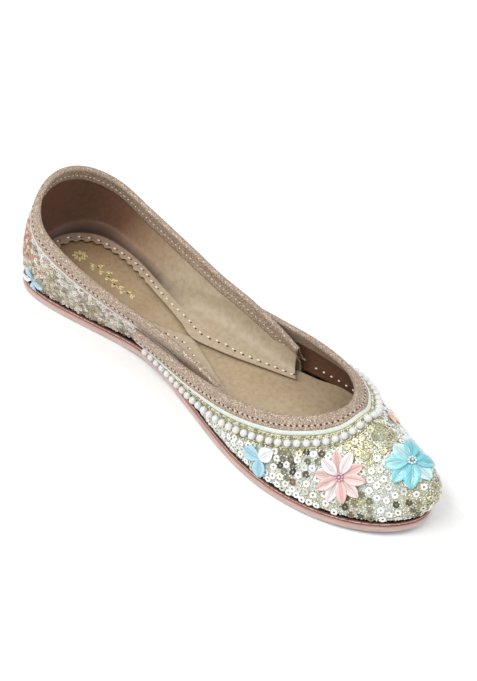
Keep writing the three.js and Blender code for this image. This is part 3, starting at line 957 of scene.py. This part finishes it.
def petal_finish(name, deep, plain, pale):
    """Pearly petal film: tint by petal, darker in the fold and glossy all over."""
    made, tree = material(name)
    shade = add(tree, "ShaderNodeAttribute", attribute_name="shade").outputs["Fac"]
    fold = add(tree, "ShaderNodeAttribute", attribute_name="fold").outputs["Fac"]
    reach = add(tree, "ShaderNodeAttribute", attribute_name="reach").outputs["Fac"]
    veined = add(tree, "ShaderNodeMath", {0: fold, 1: -0.45, 2: reach},
                 operation="MULTIPLY_ADD").outputs[0]
    vein_place = add(tree, "ShaderNodeCombineXYZ", {0: veined, 1: shade}).outputs[0]
    pearly = add(tree, "ShaderNodeTexNoise", {"Vector": vein_place, "Scale": 26.0,
                                              "Detail": 2.0}).outputs[0]
    tint = ramp(tree, shade, [(0.05, deep), (0.4, plain), (0.75, pale)])
    streak = ramp(tree, pearly, [(0.35, "e8e3e5"), (0.6, "ffffff")])
    creased = ramp(tree, fold, [(0.0, "ffffff"), (0.12, "d6cdcf"), (0.4, "f4f0f2"),
                                (0.85, "ffffff")])
    lines = add(tree, "ShaderNodeMixRGB", {"Fac": 1.0, "Color1": streak, "Color2": creased},
                blend_type="MULTIPLY").outputs[0]
    toned = add(tree, "ShaderNodeMixRGB", {"Fac": 1.0, "Color1": tint, "Color2": lines},
                blend_type="MULTIPLY").outputs[0]
    relief = add(tree, "ShaderNodeBump", {"Height": pearly, "Distance": 0.0003,
                                          "Strength": 0.4})
    surface(tree, {"Base Color": toned, "Roughness": 0.22, "Coat Weight": 0.5,
                   "Coat Roughness": 0.08, "Normal": relief.outputs[0]})
    return made


pink_film = petal_finish("pearly_pink_petal_film", "e9c3ba", "efd6cf", "f7f3f1")
cyan_film = petal_finish("pearly_cyan_petal_film", "6ccdd8", "97dfe6", "cdf2f5")
blue_film = petal_finish("pearly_blue_petal_film", "93cfe0", "b6dfeb", "f0f8f9")
peach_film = petal_finish("pearly_peach_petal_film", "eeb596", "f3c8ae", "f8dcc8")
random.seed(7)
for name, flowers, film, slot in (
    ("vamp_pink_flower", VAMP_PINK, pink_film, "petal_pink"),
    ("vamp_cyan_flower", VAMP_CYAN, cyan_film, "petal_blue"),
    ("vamp_blue_petals", VAMP_BLUE, blue_film, "petal_blue"),
    ("vamp_peach_petals", VAMP_PEACH, peach_film, "petal_pink"),
):
    piece = finish_piece(petal_flowers(vamp, flowers), name, [film])
    thicken(piece, PETAL_THICK)

FLOWER_HEART = {"count": 8, "radius": 1.5, "bead": (1.3, 1.3, 1.3)}
# Rocaille beads: tinted glass, wet and bright.
heart_glass, tree = material("tinted_glass_bead")
place = add(tree, "ShaderNodeTexCoord").outputs["Object"]
shade = add(tree, "ShaderNodeAttribute", attribute_name="shade").outputs["Fac"]
surface(tree, {"Base Color": ramp(tree, shade, [(0.2, "d79fb4"), (0.5, "e9c6d2"), (0.8, "bfe6ea")],
                                  "CONSTANT"),
               "Roughness": 0.12, "Coat Weight": 0.6, "Coat Roughness": 0.05})
places, shades = [], []
for flower, tone in ((VAMP_PINK[0], 0.3), (VAMP_CYAN[0], 0.9)):
    turn = np.arange(FLOWER_HEART["count"]) * 2 * math.pi / FLOWER_HEART["count"]
    t, v = vamp.beside(flower["t"], flower["v"], FLOWER_HEART["radius"] * np.cos(turn),
                       FLOWER_HEART["radius"] * np.sin(turn))
    places += on_wall(vamp, t, v, 1.7)
    shades += [tone] * len(turn)
    places += on_wall(vamp, np.array([flower["t"]]), np.array([flower["v"]]), 2.2)
    shades += [0.6]
finish_piece(joined(bead_template(*FLOWER_HEART["bead"]), places, shades),
             "vamp_flower_beads", [heart_glass])

# -------------------------------------------------------------------------- vamp sequins
# Ring sequins are sewn one by one over the glitter ground: mostly ivory and pearl, with
# drifts of champagne gold and of dark bronze, closer together at the sides.
SEQUIN_RADIUS = 1.7
SEQUIN_HOLE = 0.6
SEQUIN_THICK = 0.2
SEQUIN_POINTS = 9
SEQUIN_LIFT = 0.28
SEQUIN_TILT = 0.3
SEQUIN_TRIES = 30000
TRIM_END = 15.9
SEQUIN_SPACING = 2.75
SEQUIN_SPACING_OPEN = 4.0


def sequin_template(radius):
    """A shallow cupped ring: outer edge low, inner edge raised."""
    bm = bmesh.new()
    bmesh.ops.create_circle(bm, cap_ends=True, segments=SEQUIN_POINTS, radius=radius)
    centre = bm.faces[:]
    bmesh.ops.inset_region(bm, faces=centre, thickness=radius - SEQUIN_HOLE,
                           use_boundary=True)
    bmesh.ops.delete(bm, geom=centre, context="FACES_ONLY")
    grown = bmesh.ops.extrude_face_region(bm, geom=bm.faces[:])["geom"]
    top = [part for part in grown if isinstance(part, bmesh.types.BMVert)]
    bmesh.ops.translate(bm, verts=top, vec=(0, 0, SEQUIN_THICK))
    for vert in top:
        if vert.co.xy.length > (radius + SEQUIN_HOLE) / 2:
            vert.co = (vert.co.x * 0.94, vert.co.y * 0.94, vert.co.z * 1.25)
    bmesh.ops.recalc_face_normals(bm, faces=bm.faces[:])
    return bm


def scatter(wall, spacing, allowed, tries):
    """Places on a wall at least a spacing apart; spacing and allowed take places in bulk."""
    t = np.array([random.uniform(0, wall.last) for _ in range(tries)])
    v = np.array([random.uniform(0.015, 1) for _ in range(tries)])
    points = wall.point(t, v)
    good = allowed(t, v, points)
    t, v, points = t[good], v[good], points[good]
    gaps = spacing(t, v, points)
    cell = float(gaps.max())
    kept, held = [], {}
    for k, (point, gap) in enumerate(zip(points, gaps)):
        key = tuple((point // cell).astype(int))
        near = [held.get((key[0] + i, key[1] + j, key[2] + n), ())
                for i in (-1, 0, 1) for j in (-1, 0, 1) for n in (-1, 0, 1)]
        if all(((point - other) ** 2).sum() > gap * gap for group in near for other in group):
            held.setdefault(key, []).append(point)
            kept.append(k)
    return t[kept], v[kept], points[kept]


def away_from(wall, flowers, reach):
    """Tells, for points, whether they are clear of each flower's middle by reach of its size."""
    centres = [wall.point(np.array(f["t"]), np.array(f["v"])) for f in flowers]
    sizes = [reach * (f["root"] + f["length"]) for f in flowers]

    def clear(points):
        return np.all([np.linalg.norm(points - c, axis=1) > s
                       for c, s in zip(centres, sizes)], axis=0)

    return clear


# Sequin foil: the shade runs from pearl through ivory and champagne to olive and bronze.
sequin_foil, tree = material("ring_sequin_foil")
shade = add(tree, "ShaderNodeAttribute", attribute_name="shade").outputs["Fac"]
tone = ramp(tree, shade, [(0.0, "f6f6f4"), (0.26, "ecebe4"), (0.36, "c9cdc4"), (0.46, "cfcaa8"),
                          (0.58, "b0a982"), (0.7, "8a866c"), (0.82, "4a473d"), (0.9, "a57a58")])
surface(tree, {"Base Color": tone,
               "Metallic": ramp(tree, shade, [(0.25, 0.1), (0.45, 0.5), (0.8, 0.8)]),
               "Roughness": ramp(tree, shade, [(0.3, 0.4), (0.7, 0.3)]),
               "Coat Weight": 0.2, "Coat Roughness": 0.15})

# Middle of each drift of coloured sequins: place on the wall, reach in mm, tone, share.
VAMP_DRIFTS = [
    (11.0, 0.42, 13, 0.76, 0.6), (9.5, 0.15, 12, 0.76, 0.6), (8.5, 0.12, 9, 0.7, 0.45),
    (8.8, 0.75, 12, 0.53, 0.9), (7.96, 0.22, 8, 0.6, 0.85), (7.9, 0.8, 9, 0.5, 0.8),
    (6.33, 0.83, 8, 0.58, 0.7), (11.6, 0.6, 6, 0.7, 0.2), (5.2, 0.4, 11, 0.74, 0.5),
    (7.0, 0.3, 8, 0.58, 0.6),
]


def drift_tones(wall, points, drifts, plain):
    """A shade for each point: the plain one, or its drift's where it lies in one."""
    middles = [wall.point(np.array(d[0]), np.array(d[1])) for d in drifts]
    shades = []
    for point in points:
        shade = random.uniform(*plain)
        for middle, (_, _, reach, tone, share) in zip(middles, drifts):
            depth = 1 - np.linalg.norm(point - middle) / reach
            if depth > 0 and random.random() < share * min(1, depth * 2.5):
                shade = tone + random.uniform(-0.13, 0.12)
        shades.append(float(min(max(shade, 0), 1)))
    return shades


random.seed(11)
clear = away_from(vamp, VAMP_PINK + VAMP_CYAN + VAMP_BLUE, 0.72)


def vamp_spacing(t, v, points):
    """Closer at the sides and under the trimming, more open on the toe."""
    open_toe = smooth_ramp(points[:, 0], 196, 212) * smooth_ramp(v, 0.92, 0.7)
    return SEQUIN_SPACING + (SEQUIN_SPACING_OPEN - SEQUIN_SPACING) * open_toe


t, v, points = scatter(vamp, vamp_spacing,
                       lambda t, v, p: (vamp.to_rim(p) > TRIM_END) & clear(p), SEQUIN_TRIES)
spins = [random.uniform(0, 6.28) for _ in t]
tilts = [random.uniform(-SEQUIN_TILT, SEQUIN_TILT) for _ in t]
sequins = joined(sequin_template(SEQUIN_RADIUS), on_wall(vamp, t, v, SEQUIN_LIFT, spins, tilts),
                 drift_tones(vamp, points, VAMP_DRIFTS, (0.0, 0.4)))
finish_piece(sequins, "vamp_sequins", [sequin_foil], shade_smooth=False)

# ----------------------------------------------------------------------- vamp seed beads
# Between the sequins the ground is filled with glass seed beads a millimetre wide, silvery
# mint on the toe and greenish gold in drifts under the throat, each sewn on by itself.
SEED_SIZE = 1.0
SEED_SPACING = 1.14
SEED_TRIES = 70000
SEED_CLEAR = 1.25
SEED_DRIFTS = [
    (8.6, 0.8, 17, 0.68, 0.9), (7.4, 0.85, 14, 0.7, 0.8), (9.6, 0.1, 10, 0.7, 0.4),
    (8.1, 0.1, 8, 0.75, 0.8), (11.4, 0.5, 8, 0.7, 0.3), (5.2, 0.4, 12, 0.7, 0.5),
]

# Silver-lined glass: pale and wet-looking, mint or gold by the lining.
seed_glass, tree = material("silver_lined_seed_glass")
shade = add(tree, "ShaderNodeAttribute", attribute_name="shade").outputs["Fac"]
surface(tree, {"Base Color": ramp(tree, shade, [(0.0, "c0c9c1"), (0.3, "e4e8e5"), (0.45, "f5f6f4"),
                                                (0.6, "c4be92"), (0.8, "857f53")]),
               "Metallic": 0.3, "Roughness": 0.25, "Coat Weight": 0.3, "Coat Roughness": 0.08})
sequin_places = KDTree(len(points))
for index, point in enumerate(points):
    sequin_places.insert(point, index)
sequin_places.balance()


def seed_allowed(t, v, p):
    """Clear of the trimming, of the flowers' roots and of the sequins' middles."""
    free = (vamp.to_rim(p) > TRIM_END - 0.4) & clear(p)
    apart = np.array([sequin_places.find(place)[2] for place in p])
    return free & (apart > SEED_CLEAR)


t, v, points = scatter(vamp, lambda t, v, p: np.full(len(p), SEED_SPACING), seed_allowed,
                       SEED_TRIES)
bead = bmesh.new()
bmesh.ops.create_icosphere(bead, subdivisions=1, radius=SEED_SIZE / 2)
finish_piece(
    joined(bead, on_wall(vamp, t, v, 0.2), drift_tones(vamp, points, SEED_DRIFTS, (0.0, 0.5))),
    "vamp_seed_beads", [seed_glass])

# ------------------------------------------------------------------------- quarter shell
# The quarter is the heel part of the upper: sequinned cloth over a stiff backing. Its two
# flaps run forward inside the vamp, where they are plain leather.
QUARTER_KEYS = ("along", "inset", "x", "y", "z", "rise", "flare", "lean", "drop",
                "edge_x", "edge_y")
QUARTER_RIBS = [
    (0, 1.4, 3, 0, 53, 14, 5, 3.5, 14, 10.5, 0),
    (0.07, 1.4, 7, 16.5, 49.5, 13, 4.5, 3.5, 13, 13.5, 9),
    (0.13, 1.4, 20, 27.5, 43, 11, 3.5, 2.5, 11, 23, 15.5),
    (0.21, 1.4, 42, 29.5, 37, 9, 2.5, 1, 10, 42, 16),
    (0.31, 1.6, 68, 28.4, 33.5, 8, 2, 0.5, 9, 68, 10),
    (0.39, 4.3, 90, 26.6, 31.5, 8, 2, 0.5, 9, 88, 4),
    (0.43, 4.4, 101, 26.2, 30.8, 8, 2, 0.2, 9, 99, 0.3),
    (0.47, 4.4, 112, 26, 30, 8, 2, 0, 8, 112, 4),
    (0.54, 4.6, 130, 26, 26.5, 8, 2, 0, 7, 132, 12),
    (0.6, 5, 144, 26, 22, 6, 2, 0, 5, 150, 19),
]
QUARTER_COLUMNS = 320
QUARTER_ROWS = 24
QUARTER_OUTER = 0.5
SHELL_END = 0.3

quarter = Wall(QUARTER_RIBS, QUARTER_KEYS, 0, QUARTER_WALL)


def quarter_face(u, w):
    t = SHELL_END + u * (quarter.last - 2 * SHELL_END)
    point, out, _ = quarter.frame(t, w)
    return point - out * SHELL_SINK, out


quarter_shell = finish_piece(mapped_grid(QUARTER_COLUMNS, QUARTER_ROWS, quarter_face),
                             "quarter_shell", [glitter_ground, insole_tan],
                             replaces="quarter")
thicken(quarter_shell, QUARTER_OUTER, inner=1, rim=1)

# ------------------------------------------------------------------------ quarter lining
# One piece of tan leather lines the heel and the flaps. At the bottom it is turned in over
# the insole as a broad margin, whose edge is cut in a fine wave round the heel.
FLANGE_TOP = 11.1
LINING_THICK = 0.8
LINING_GAP = 0.1
LINING_COLUMNS = 420
LINING_ROWS = 42
LINING_PARTS = (0.5, 0.76)
FILLET = {"heel": 2.6, "waist": 3.6, "flap": 12}
MARGIN_WIDTH = 5.8
WAVE = {"height": 0.75, "pitch": 5.2, "end": 62}

# Lining leather: tan along the sides and brown in the heel, deepened there by painted shade with a
# slanting edge; a painted shadow line lies in the fold, and the margin is painted lighter as if lit
# from above.
lining_tan, tree = material("tan_lining_leather_painted_heel_shade")
place = add(tree, "ShaderNodeTexCoord").outputs["Object"]
axes = add(tree, "ShaderNodeSeparateXYZ", {"Vector": place})
height_share = add(tree, "ShaderNodeMath", {0: axes.outputs["Z"], 1: -0.55},
                   operation="MULTIPLY").outputs[0]
slanted = add(tree, "ShaderNodeMath", {0: axes.outputs["X"], 1: height_share},
              operation="ADD").outputs[0]
toward_toe = add(tree, "ShaderNodeMapRange", {"Value": slanted, "From Min": -0.135,
                                              "From Max": -0.045}).outputs[0]
grain = add(tree, "ShaderNodeTexNoise", {"Vector": place, "Scale": 420.0,
                                         "Detail": 6.0}).outputs[0]
cloud = add(tree, "ShaderNodeTexNoise", {"Vector": place, "Scale": 25.0}).outputs[0]
swayed = add(tree, "ShaderNodeMath", {0: cloud, 1: 0.16, 2: toward_toe},
             operation="MULTIPLY_ADD").outputs[0]
# Tan to brown towards the heel: partly the leather's colour, partly painted shade, with an edge
# slanting up the wall.
wall_dye_and_heel_shade = ramp(tree, swayed, [(0.1, "694a3b"), (0.36, "7a5a47"), (0.56, "a48b70"), (0.85, "b6a78f"),
                               (1.0, "b1a28a")])
# The margin is painted lighter than the wall, as lit from above, and darker towards the heel as
# painted shade.
margin_dye_lit_and_heel_shade = ramp(tree, swayed, [(0.1, "8c7362"), (0.4, "a08974"), (0.85, "b4a38b")])
down = add(tree, "ShaderNodeAttribute", attribute_name="down").outputs["Fac"]
dye = add(tree, "ShaderNodeMixRGB", {"Fac": ramp(tree, down, [(0.73, 0.0), (0.77, 1.0)]),
                                     "Color1": wall_dye_and_heel_shade, "Color2": margin_dye_lit_and_heel_shade}).outputs[0]
# A painted shadow line over the bend from wall to margin, strongest at the heel.
fold_shadow_line = ramp(tree, down, [(0.48, "ffffff"), (0.58, "c4b7ae"), (0.71, "564238"),
                              (0.765, "564238"), (0.79, "ffffff")])
folded = ramp(tree, toward_toe, [(0.7, 0.85), (1.0, 0.0)])
dye = add(tree, "ShaderNodeMixRGB", {"Fac": folded, "Color1": dye, "Color2": fold_shadow_line},
          blend_type="MULTIPLY").outputs[0]
speck = ramp(tree, grain, [(0.3, "e6dcd0"), (0.6, "ffffff")])
toned = add(tree, "ShaderNodeMixRGB", {"Fac": 0.7, "Color1": dye, "Color2": speck},
            blend_type="MULTIPLY").outputs[0]
relief = add(tree, "ShaderNodeBump", {"Height": grain, "Distance": 0.00012, "Strength": 0.35})
surface(tree, {"Base Color": toned, "Roughness": 0.52, "Normal": relief.outputs[0]})


def flange_place(t, w):
    """Point of the lining's visible face; w runs from the rim down and over to the edge."""
    rib = quarter.rib(t)
    near_flap = smooth_ramp(rib["x"], 60, 110)
    near_waist = smooth_ramp(rib["x"], 15, 60)
    fillet = FILLET["heel"] + (FILLET["waist"] - FILLET["heel"]) * near_waist
    fillet = fillet + (FILLET["flap"] - FILLET["waist"]) * near_flap
    low, high = np.zeros_like(t), np.ones_like(t)
    for _ in range(RIM_SEARCH):
        v = (low + high) / 2
        point, out, _ = quarter.frame(t, v)
        inner = point - out * (quarter.thick + LINING_GAP)
        above = inner[:, 2] - ground_rise(inner[:, 0]) > FLANGE_TOP + fillet
        low, high = np.where(above, low, v), np.where(above, v, high)
    base = (low + high) / 2
    wall_end, flange_start = LINING_PARTS
    down = np.clip(w / wall_end, 0, 1)
    point, out, _ = quarter.frame(t, 1 - (1 - base) * down)
    wall_point = point - out * (quarter.thick + LINING_GAP)
    foot, foot_out, _ = quarter.frame(t, base)
    foot = foot - foot_out * (quarter.thick + LINING_GAP)
    edge = np.stack([rib["edge_x"], rib["edge_y"]], -1)
    run = np.cumsum(np.concatenate([[0], np.hypot(*np.diff(edge_line, axis=0).T)]))
    along = np.interp(t, edge_t, run)
    wave = WAVE["height"] * np.sin(2 * math.pi * along / WAVE["pitch"])
    inward = edge - foot[:, :2]
    width = np.linalg.norm(inward, axis=1, keepdims=True)
    inward = inward / width
    edge = edge + inward * (wave * smooth_ramp(-rib["x"], -WAVE["end"], 10 - WAVE["end"]))[:, None]
    corner = foot[:, :2]
    on_flap = np.minimum(fillet[:, None], width * 0.7)
    reach = width - MARGIN_WIDTH
    reach = reach + (on_flap - reach) * near_flap[:, None]
    landing = corner + inward * reach
    turn = np.clip((w - wall_end) / (flange_start - wall_end), 0, 1)[:, None]
    out_share = np.clip((w - flange_start) / (1 - flange_start), 0, 1)[:, None]
    level = FLANGE_TOP + ground_rise(landing[:, 0])
    sharp = 1 - near_flap[:, None]
    pull = np.column_stack([corner + inward * reach * 0.5 * sharp, level + 0.9 * sharp[:, 0]])
    bend = ((1 - turn) ** 2 * foot
            + 2 * turn * (1 - turn) * pull
            + turn ** 2 * np.column_stack([landing, level]))
    flat = landing + (edge - landing) * out_share
    flat = np.column_stack([flat, FLANGE_TOP + ground_rise(flat[:, 0])])
    made = np.where((w <= wall_end)[:, None], wall_point, np.where((turn < 1), bend, flat))
    toward = np.where((w <= wall_end)[:, None], -out, [0, 0, 1.0])
    return made, toward


edge_t = np.linspace(0, quarter.last, RIM_SAMPLES)
edge_line = np.stack([quarter.rib(edge_t)[key] for key in ("edge_x", "edge_y")], -1)
quarter_lining = finish_piece(
    mapped_grid(LINING_COLUMNS, LINING_ROWS, lambda u, w: flange_place(u * quarter.last, w)),
    "quarter_lining", [lining_tan])
thicken(quarter_lining, LINING_THICK)

# ------------------------------------------------------------------------ collar binding
# The same glitter leather strip is folded over the quarter's top edge, from one flap's end
# round the heel to the other's. A pale satin piping lies under it on the outside.
COLLAR_OUTSIDE = 6.5
COLLAR_INSIDE = 7
COLLAR_FREE_END = 84
COLLAR_SATIN = (6.4, 8.2)
COLLAR_SATIN_THICK = 0.25


def collar_lift(x):
    """Outside, the strip is pared thin where the vamp covers it."""
    covered = smooth_ramp(x, COLLAR_FREE_END - 8, COLLAR_FREE_END)
    return BINDING_LIFT + (BINDING_LIFT_TIGHT - BINDING_LIFT) * covered


collar_binding = finish_piece(
    binding(quarter, COLLAR_OUTSIDE, COLLAR_INSIDE, collar_lift,
            lambda x: x * 0 + BINDING_LIFT + LINING_GAP),
    "collar_binding", [glitter_leather])
thicken(collar_binding, BINDING_THICK)

# Lilac satin: the same cloth in a greyed rose shade.
lilac_satin = satin_finish("greyed_lilac_satin_piping", "b3a9a8", "d3cbcb")
collar_satin = finish_piece(
    band(quarter, *COLLAR_SATIN, COLLAR_SATIN_THICK, SATIN_ROWS, puff=COLLAR_SATIN_THICK),
    "collar_satin_piping", [lilac_satin])
thicken(collar_satin, COLLAR_SATIN_THICK)

t, v = quarter.trail(STITCH_DISTANCE, STITCH_PITCH)
free = quarter.rib(t)["x"] < COLLAR_FREE_END
places = on_wall(quarter, t[free], v[free], BINDING_LIFT + STITCH_LIFT)
places += on_wall(quarter, t, v, BINDING_LIFT + LINING_GAP + STITCH_LIFT,
                  inside=True)
finish_piece(
    joined(bead_template(STITCH_LENGTH, STITCH_WIDTH, STITCH_HEIGHT), places),
    "collar_stitches", [beige_thread])
t, v = (t[1:] + t[:-1]) / 2, (v[1:] + v[:-1]) / 2
free = quarter.rib(t)["x"] < COLLAR_FREE_END
places = on_wall(quarter, t[free], v[free], BINDING_LIFT + HOLE_LIFT)
finish_piece(joined(hole_template(), places), "collar_holes", [hole_dark])

# ----------------------------------------------------------------------- lining stitches
# Thick white thread fastens the turned-in margin to the sole, in short stitches that show
# as a row of dots beside its edge, each with a dark hole at one end.
FLANGE_STITCH_PITCH = 4.7
FLANGE_STITCH_IN = {"heel": 2.2, "flap": 5.5}
FLANGE_BEAD = (1.5, 0.95, 0.75)

# White cotton cord: plain and matt, with loose fibres.
white_cord, tree = material("white_cotton_cord")
place = add(tree, "ShaderNodeTexCoord").outputs["Object"]
fibre = add(tree, "ShaderNodeTexNoise", {"Vector": place, "Scale": 1800.0}).outputs[0]
surface(tree, {"Base Color": ramp(tree, fibre, [(0.3, "ded8c8"), (0.7, "f8f6ee")]),
               "Roughness": 0.7})
run = np.concatenate([[0], np.cumsum(np.hypot(*np.diff(edge_line, axis=0).T))])
count = int(run[-1] / FLANGE_STITCH_PITCH)
t = np.interp((np.arange(count) + 0.5) * run[-1] / count, run, edge_t)
edge_point_3d, _ = flange_place(t, np.ones_like(t))
landing, _ = flange_place(t, np.full_like(t, LINING_PARTS[1] + 0.001))
toward = landing - edge_point_3d
width = np.linalg.norm(toward, axis=1, keepdims=True)
on_flap = smooth_ramp(edge_point_3d[:, 0], 70, 105)
back = FLANGE_STITCH_IN["heel"] + (FLANGE_STITCH_IN["flap"] - FLANGE_STITCH_IN["heel"]) * on_flap
spots = edge_point_3d + toward / width * np.minimum(back[:, None], width * 0.8)
upright = np.tile([0, 0, 1.0], (len(spots), 1))
lie = toward / width
finish_piece(
    joined(bead_template(*FLANGE_BEAD), seats(spots + [0, 0, 0.2], upright, lie)),
    "margin_stitches", [white_cord])
shift = np.cross(lie, upright) * 1.25
finish_piece(
    joined(hole_template(), seats(spots + shift + [0, 0, 0.02], upright, lie)),
    "margin_holes", [hole_dark])

# ------------------------------------------------------------------------- vamp inside
# The vamp's lining is caught to the sole with the same white cord, in a row just above the
# insole; fine ends of tan thread lie along the leather above it.
BASE_STITCH_PITCH = 4.4
BASE_STITCH_HEIGHT = 1.5
BASE_STITCH_START = 150
LOOSE_THREADS = 5
LOOSE_THICK = 0.4
LOOSE_SPAN = (4.15, 5.6)

t = np.linspace(0, vamp.last, RIM_SAMPLES)
low, high = np.zeros_like(t), np.ones_like(t)
for _ in range(RIM_SEARCH):
    v = (low + high) / 2
    inner = vamp.frame(t, v)
    spot = inner[0] - inner[1] * vamp.thick
    above = spot[:, 2] - ground_rise(spot[:, 0]) > INSOLE_TOP + BASE_STITCH_HEIGHT
    low, high = np.where(above, low, v), np.where(above, v, high)
base_v = v
steps = np.linalg.norm(np.diff(vamp.point(t, base_v), axis=0), axis=1)
run = np.concatenate([[0], np.cumsum(steps)])
even = np.interp(np.arange(0, run[-1], BASE_STITCH_PITCH), run, t)
even_v = np.interp(even, t, base_v)
shown = vamp.point(even, even_v)[:, 0] > BASE_STITCH_START
finish_piece(
    joined(bead_template(*FLANGE_BEAD),
           on_wall(vamp, even[shown], even_v[shown], 0.15, inside=True)),
    "vamp_base_stitches", [white_cord])

# Loose tan thread: a single ply, slightly fuzzy.
tan_ply, tree = material("single_ply_tan_thread")
place = add(tree, "ShaderNodeTexCoord").outputs["Object"]
fuzz = add(tree, "ShaderNodeTexNoise", {"Vector": place, "Scale": 2500.0}).outputs[0]
surface(tree, {"Base Color": ramp(tree, fuzz, [(0.3, "b08e6d"), (0.7, "d6b998")]),
               "Roughness": 0.75})
random.seed(31)
strands = bmesh.new()
for k in range(LOOSE_THREADS):
    start = random.uniform(0, 0.5)
    t = np.linspace(LOOSE_SPAN[0] + start, LOOSE_SPAN[1] - random.uniform(0, 0.4), 40)
    level = 0.30 + 0.045 * k + 0.02 * np.sin(t * random.uniform(3, 7) + k)
    spot, out, up = vamp.frame(t, level)
    spot = spot - out * (vamp.thick + 0.2)
    previous = None
    for here, away, rise in zip(spot, out, up):
        ring = bmesh.ops.create_circle(strands, segments=5, radius=LOOSE_THICK / 2)["verts"]
        seat = seats(here[None], np.cross(rise, away)[None], rise[None])[0]
        bmesh.ops.transform(strands, matrix=seat, verts=ring)
        edges = list({edge for vert in ring for edge in vert.link_edges})
        if previous is not None:
            bmesh.ops.bridge_loops(strands, edges=previous + edges)
        previous = edges
loose = [edge for edge in strands.edges if edge.is_boundary]
bmesh.ops.holes_fill(strands, edges=loose, sides=5)
bmesh.ops.recalc_face_normals(strands, faces=strands.faces[:])
finish_piece(strands, "vamp_loose_threads", [tan_ply])

# ----------------------------------------------------------------------- quarter sequins
# Smaller ring sequins cover the outside of the heel closely, pearl, champagne and brown,
# with drifts of copper. Blue petals are sewn low on each side and a pink flower at the back.
QUARTER_SEQUIN = 0.95
QUARTER_SPACING = 1.5
QUARTER_SEQUIN_END = 88
QUARTER_TRIM_END = 8.6
QUARTER_BLUE = [
    {"t": 6.9, "v": 0.14, "length": 7.2, "width": 4.0, "root": 0.9, "headings": (1.9, 3.4, 5.0, 0.2),
     "pale": (1,)},
    {"t": 12.6, "v": 0.3, "length": 7.2, "width": 4.0, "root": 0.9,
     "headings": (1.2, 2.2, 3.6, 5.0, 0.2), "pale": (1, 3)},
]
QUARTER_PINK = [
    {"t": 9.0, "v": 0.42, "petals": 9, "length": 8.5, "width": 4.6, "root": 1.4, "turn": 0.2,
     "pale": (2, 6)},
]
QUARTER_DRIFTS = [
    (7.5, 0.6, 10, 0.93, 0.65), (6.9, 0.5, 8, 0.93, 0.6), (8.3, 0.3, 8, 0.93, 0.6),
    (10.6, 0.5, 9, 0.93, 0.8), (11.2, 0.4, 8, 0.93, 0.7), (5.5, 0.3, 8, 0.6, 0.5),
    (6.3, 0.2, 6, 0.55, 0.6), (12.4, 0.5, 8, 0.6, 0.5),
]

# Rose-tinted foil: pearl and champagne through rosy gold to brown, and red copper.
rose_foil, tree = material("rose_gold_sequin_foil")
shade = add(tree, "ShaderNodeAttribute", attribute_name="shade").outputs["Fac"]
surface(tree, {"Base Color": ramp(tree, shade, [(0.0, "f0ebe6"), (0.22, "d9cec4"), (0.42, "bfaf9f"),
                                                (0.6, "a09080"), (0.76, "75685c"), (0.85, "a8644e"),
                                                (1.0, "cf937b")]),
               "Metallic": ramp(tree, shade, [(0.2, 0.1), (0.5, 0.4)]),
               "Roughness": 0.38, "Coat Weight": 0.2, "Coat Roughness": 0.15})
random.seed(21)
for name, flowers, film, slot in (
    ("quarter_blue_petals", QUARTER_BLUE, blue_film, "petal_blue"),
    ("quarter_pink_flower", QUARTER_PINK, pink_film, "petal_pink"),
):
    piece = finish_piece(petal_flowers(quarter, flowers), name, [film])
    thicken(piece, PETAL_THICK)
clear_heel = away_from(quarter, QUARTER_BLUE + QUARTER_PINK, 0.7)
t, v, points = scatter(
    quarter, lambda t, v, p: np.full(len(p), QUARTER_SPACING),
    lambda t, v, p: (quarter.to_rim(p) > QUARTER_TRIM_END) & clear_heel(p)
    & (p[:, 0] < QUARTER_SEQUIN_END), SEQUIN_TRIES)
spins = [random.uniform(0, 6.28) for _ in t]
tilts = [random.uniform(-SEQUIN_TILT, SEQUIN_TILT) for _ in t]
shades = [random.uniform(0.0, 0.7) for _ in points]
for k, tone in enumerate(drift_tones(quarter, points, QUARTER_DRIFTS, (-1, -1))):
    if tone > 0:
        shades[k] = tone
finish_piece(
    joined(sequin_template(QUARTER_SEQUIN), on_wall(quarter, t, v, SEQUIN_LIFT, spins, tilts), shades),
    "quarter_sequins", [rose_foil], shade_smooth=False)
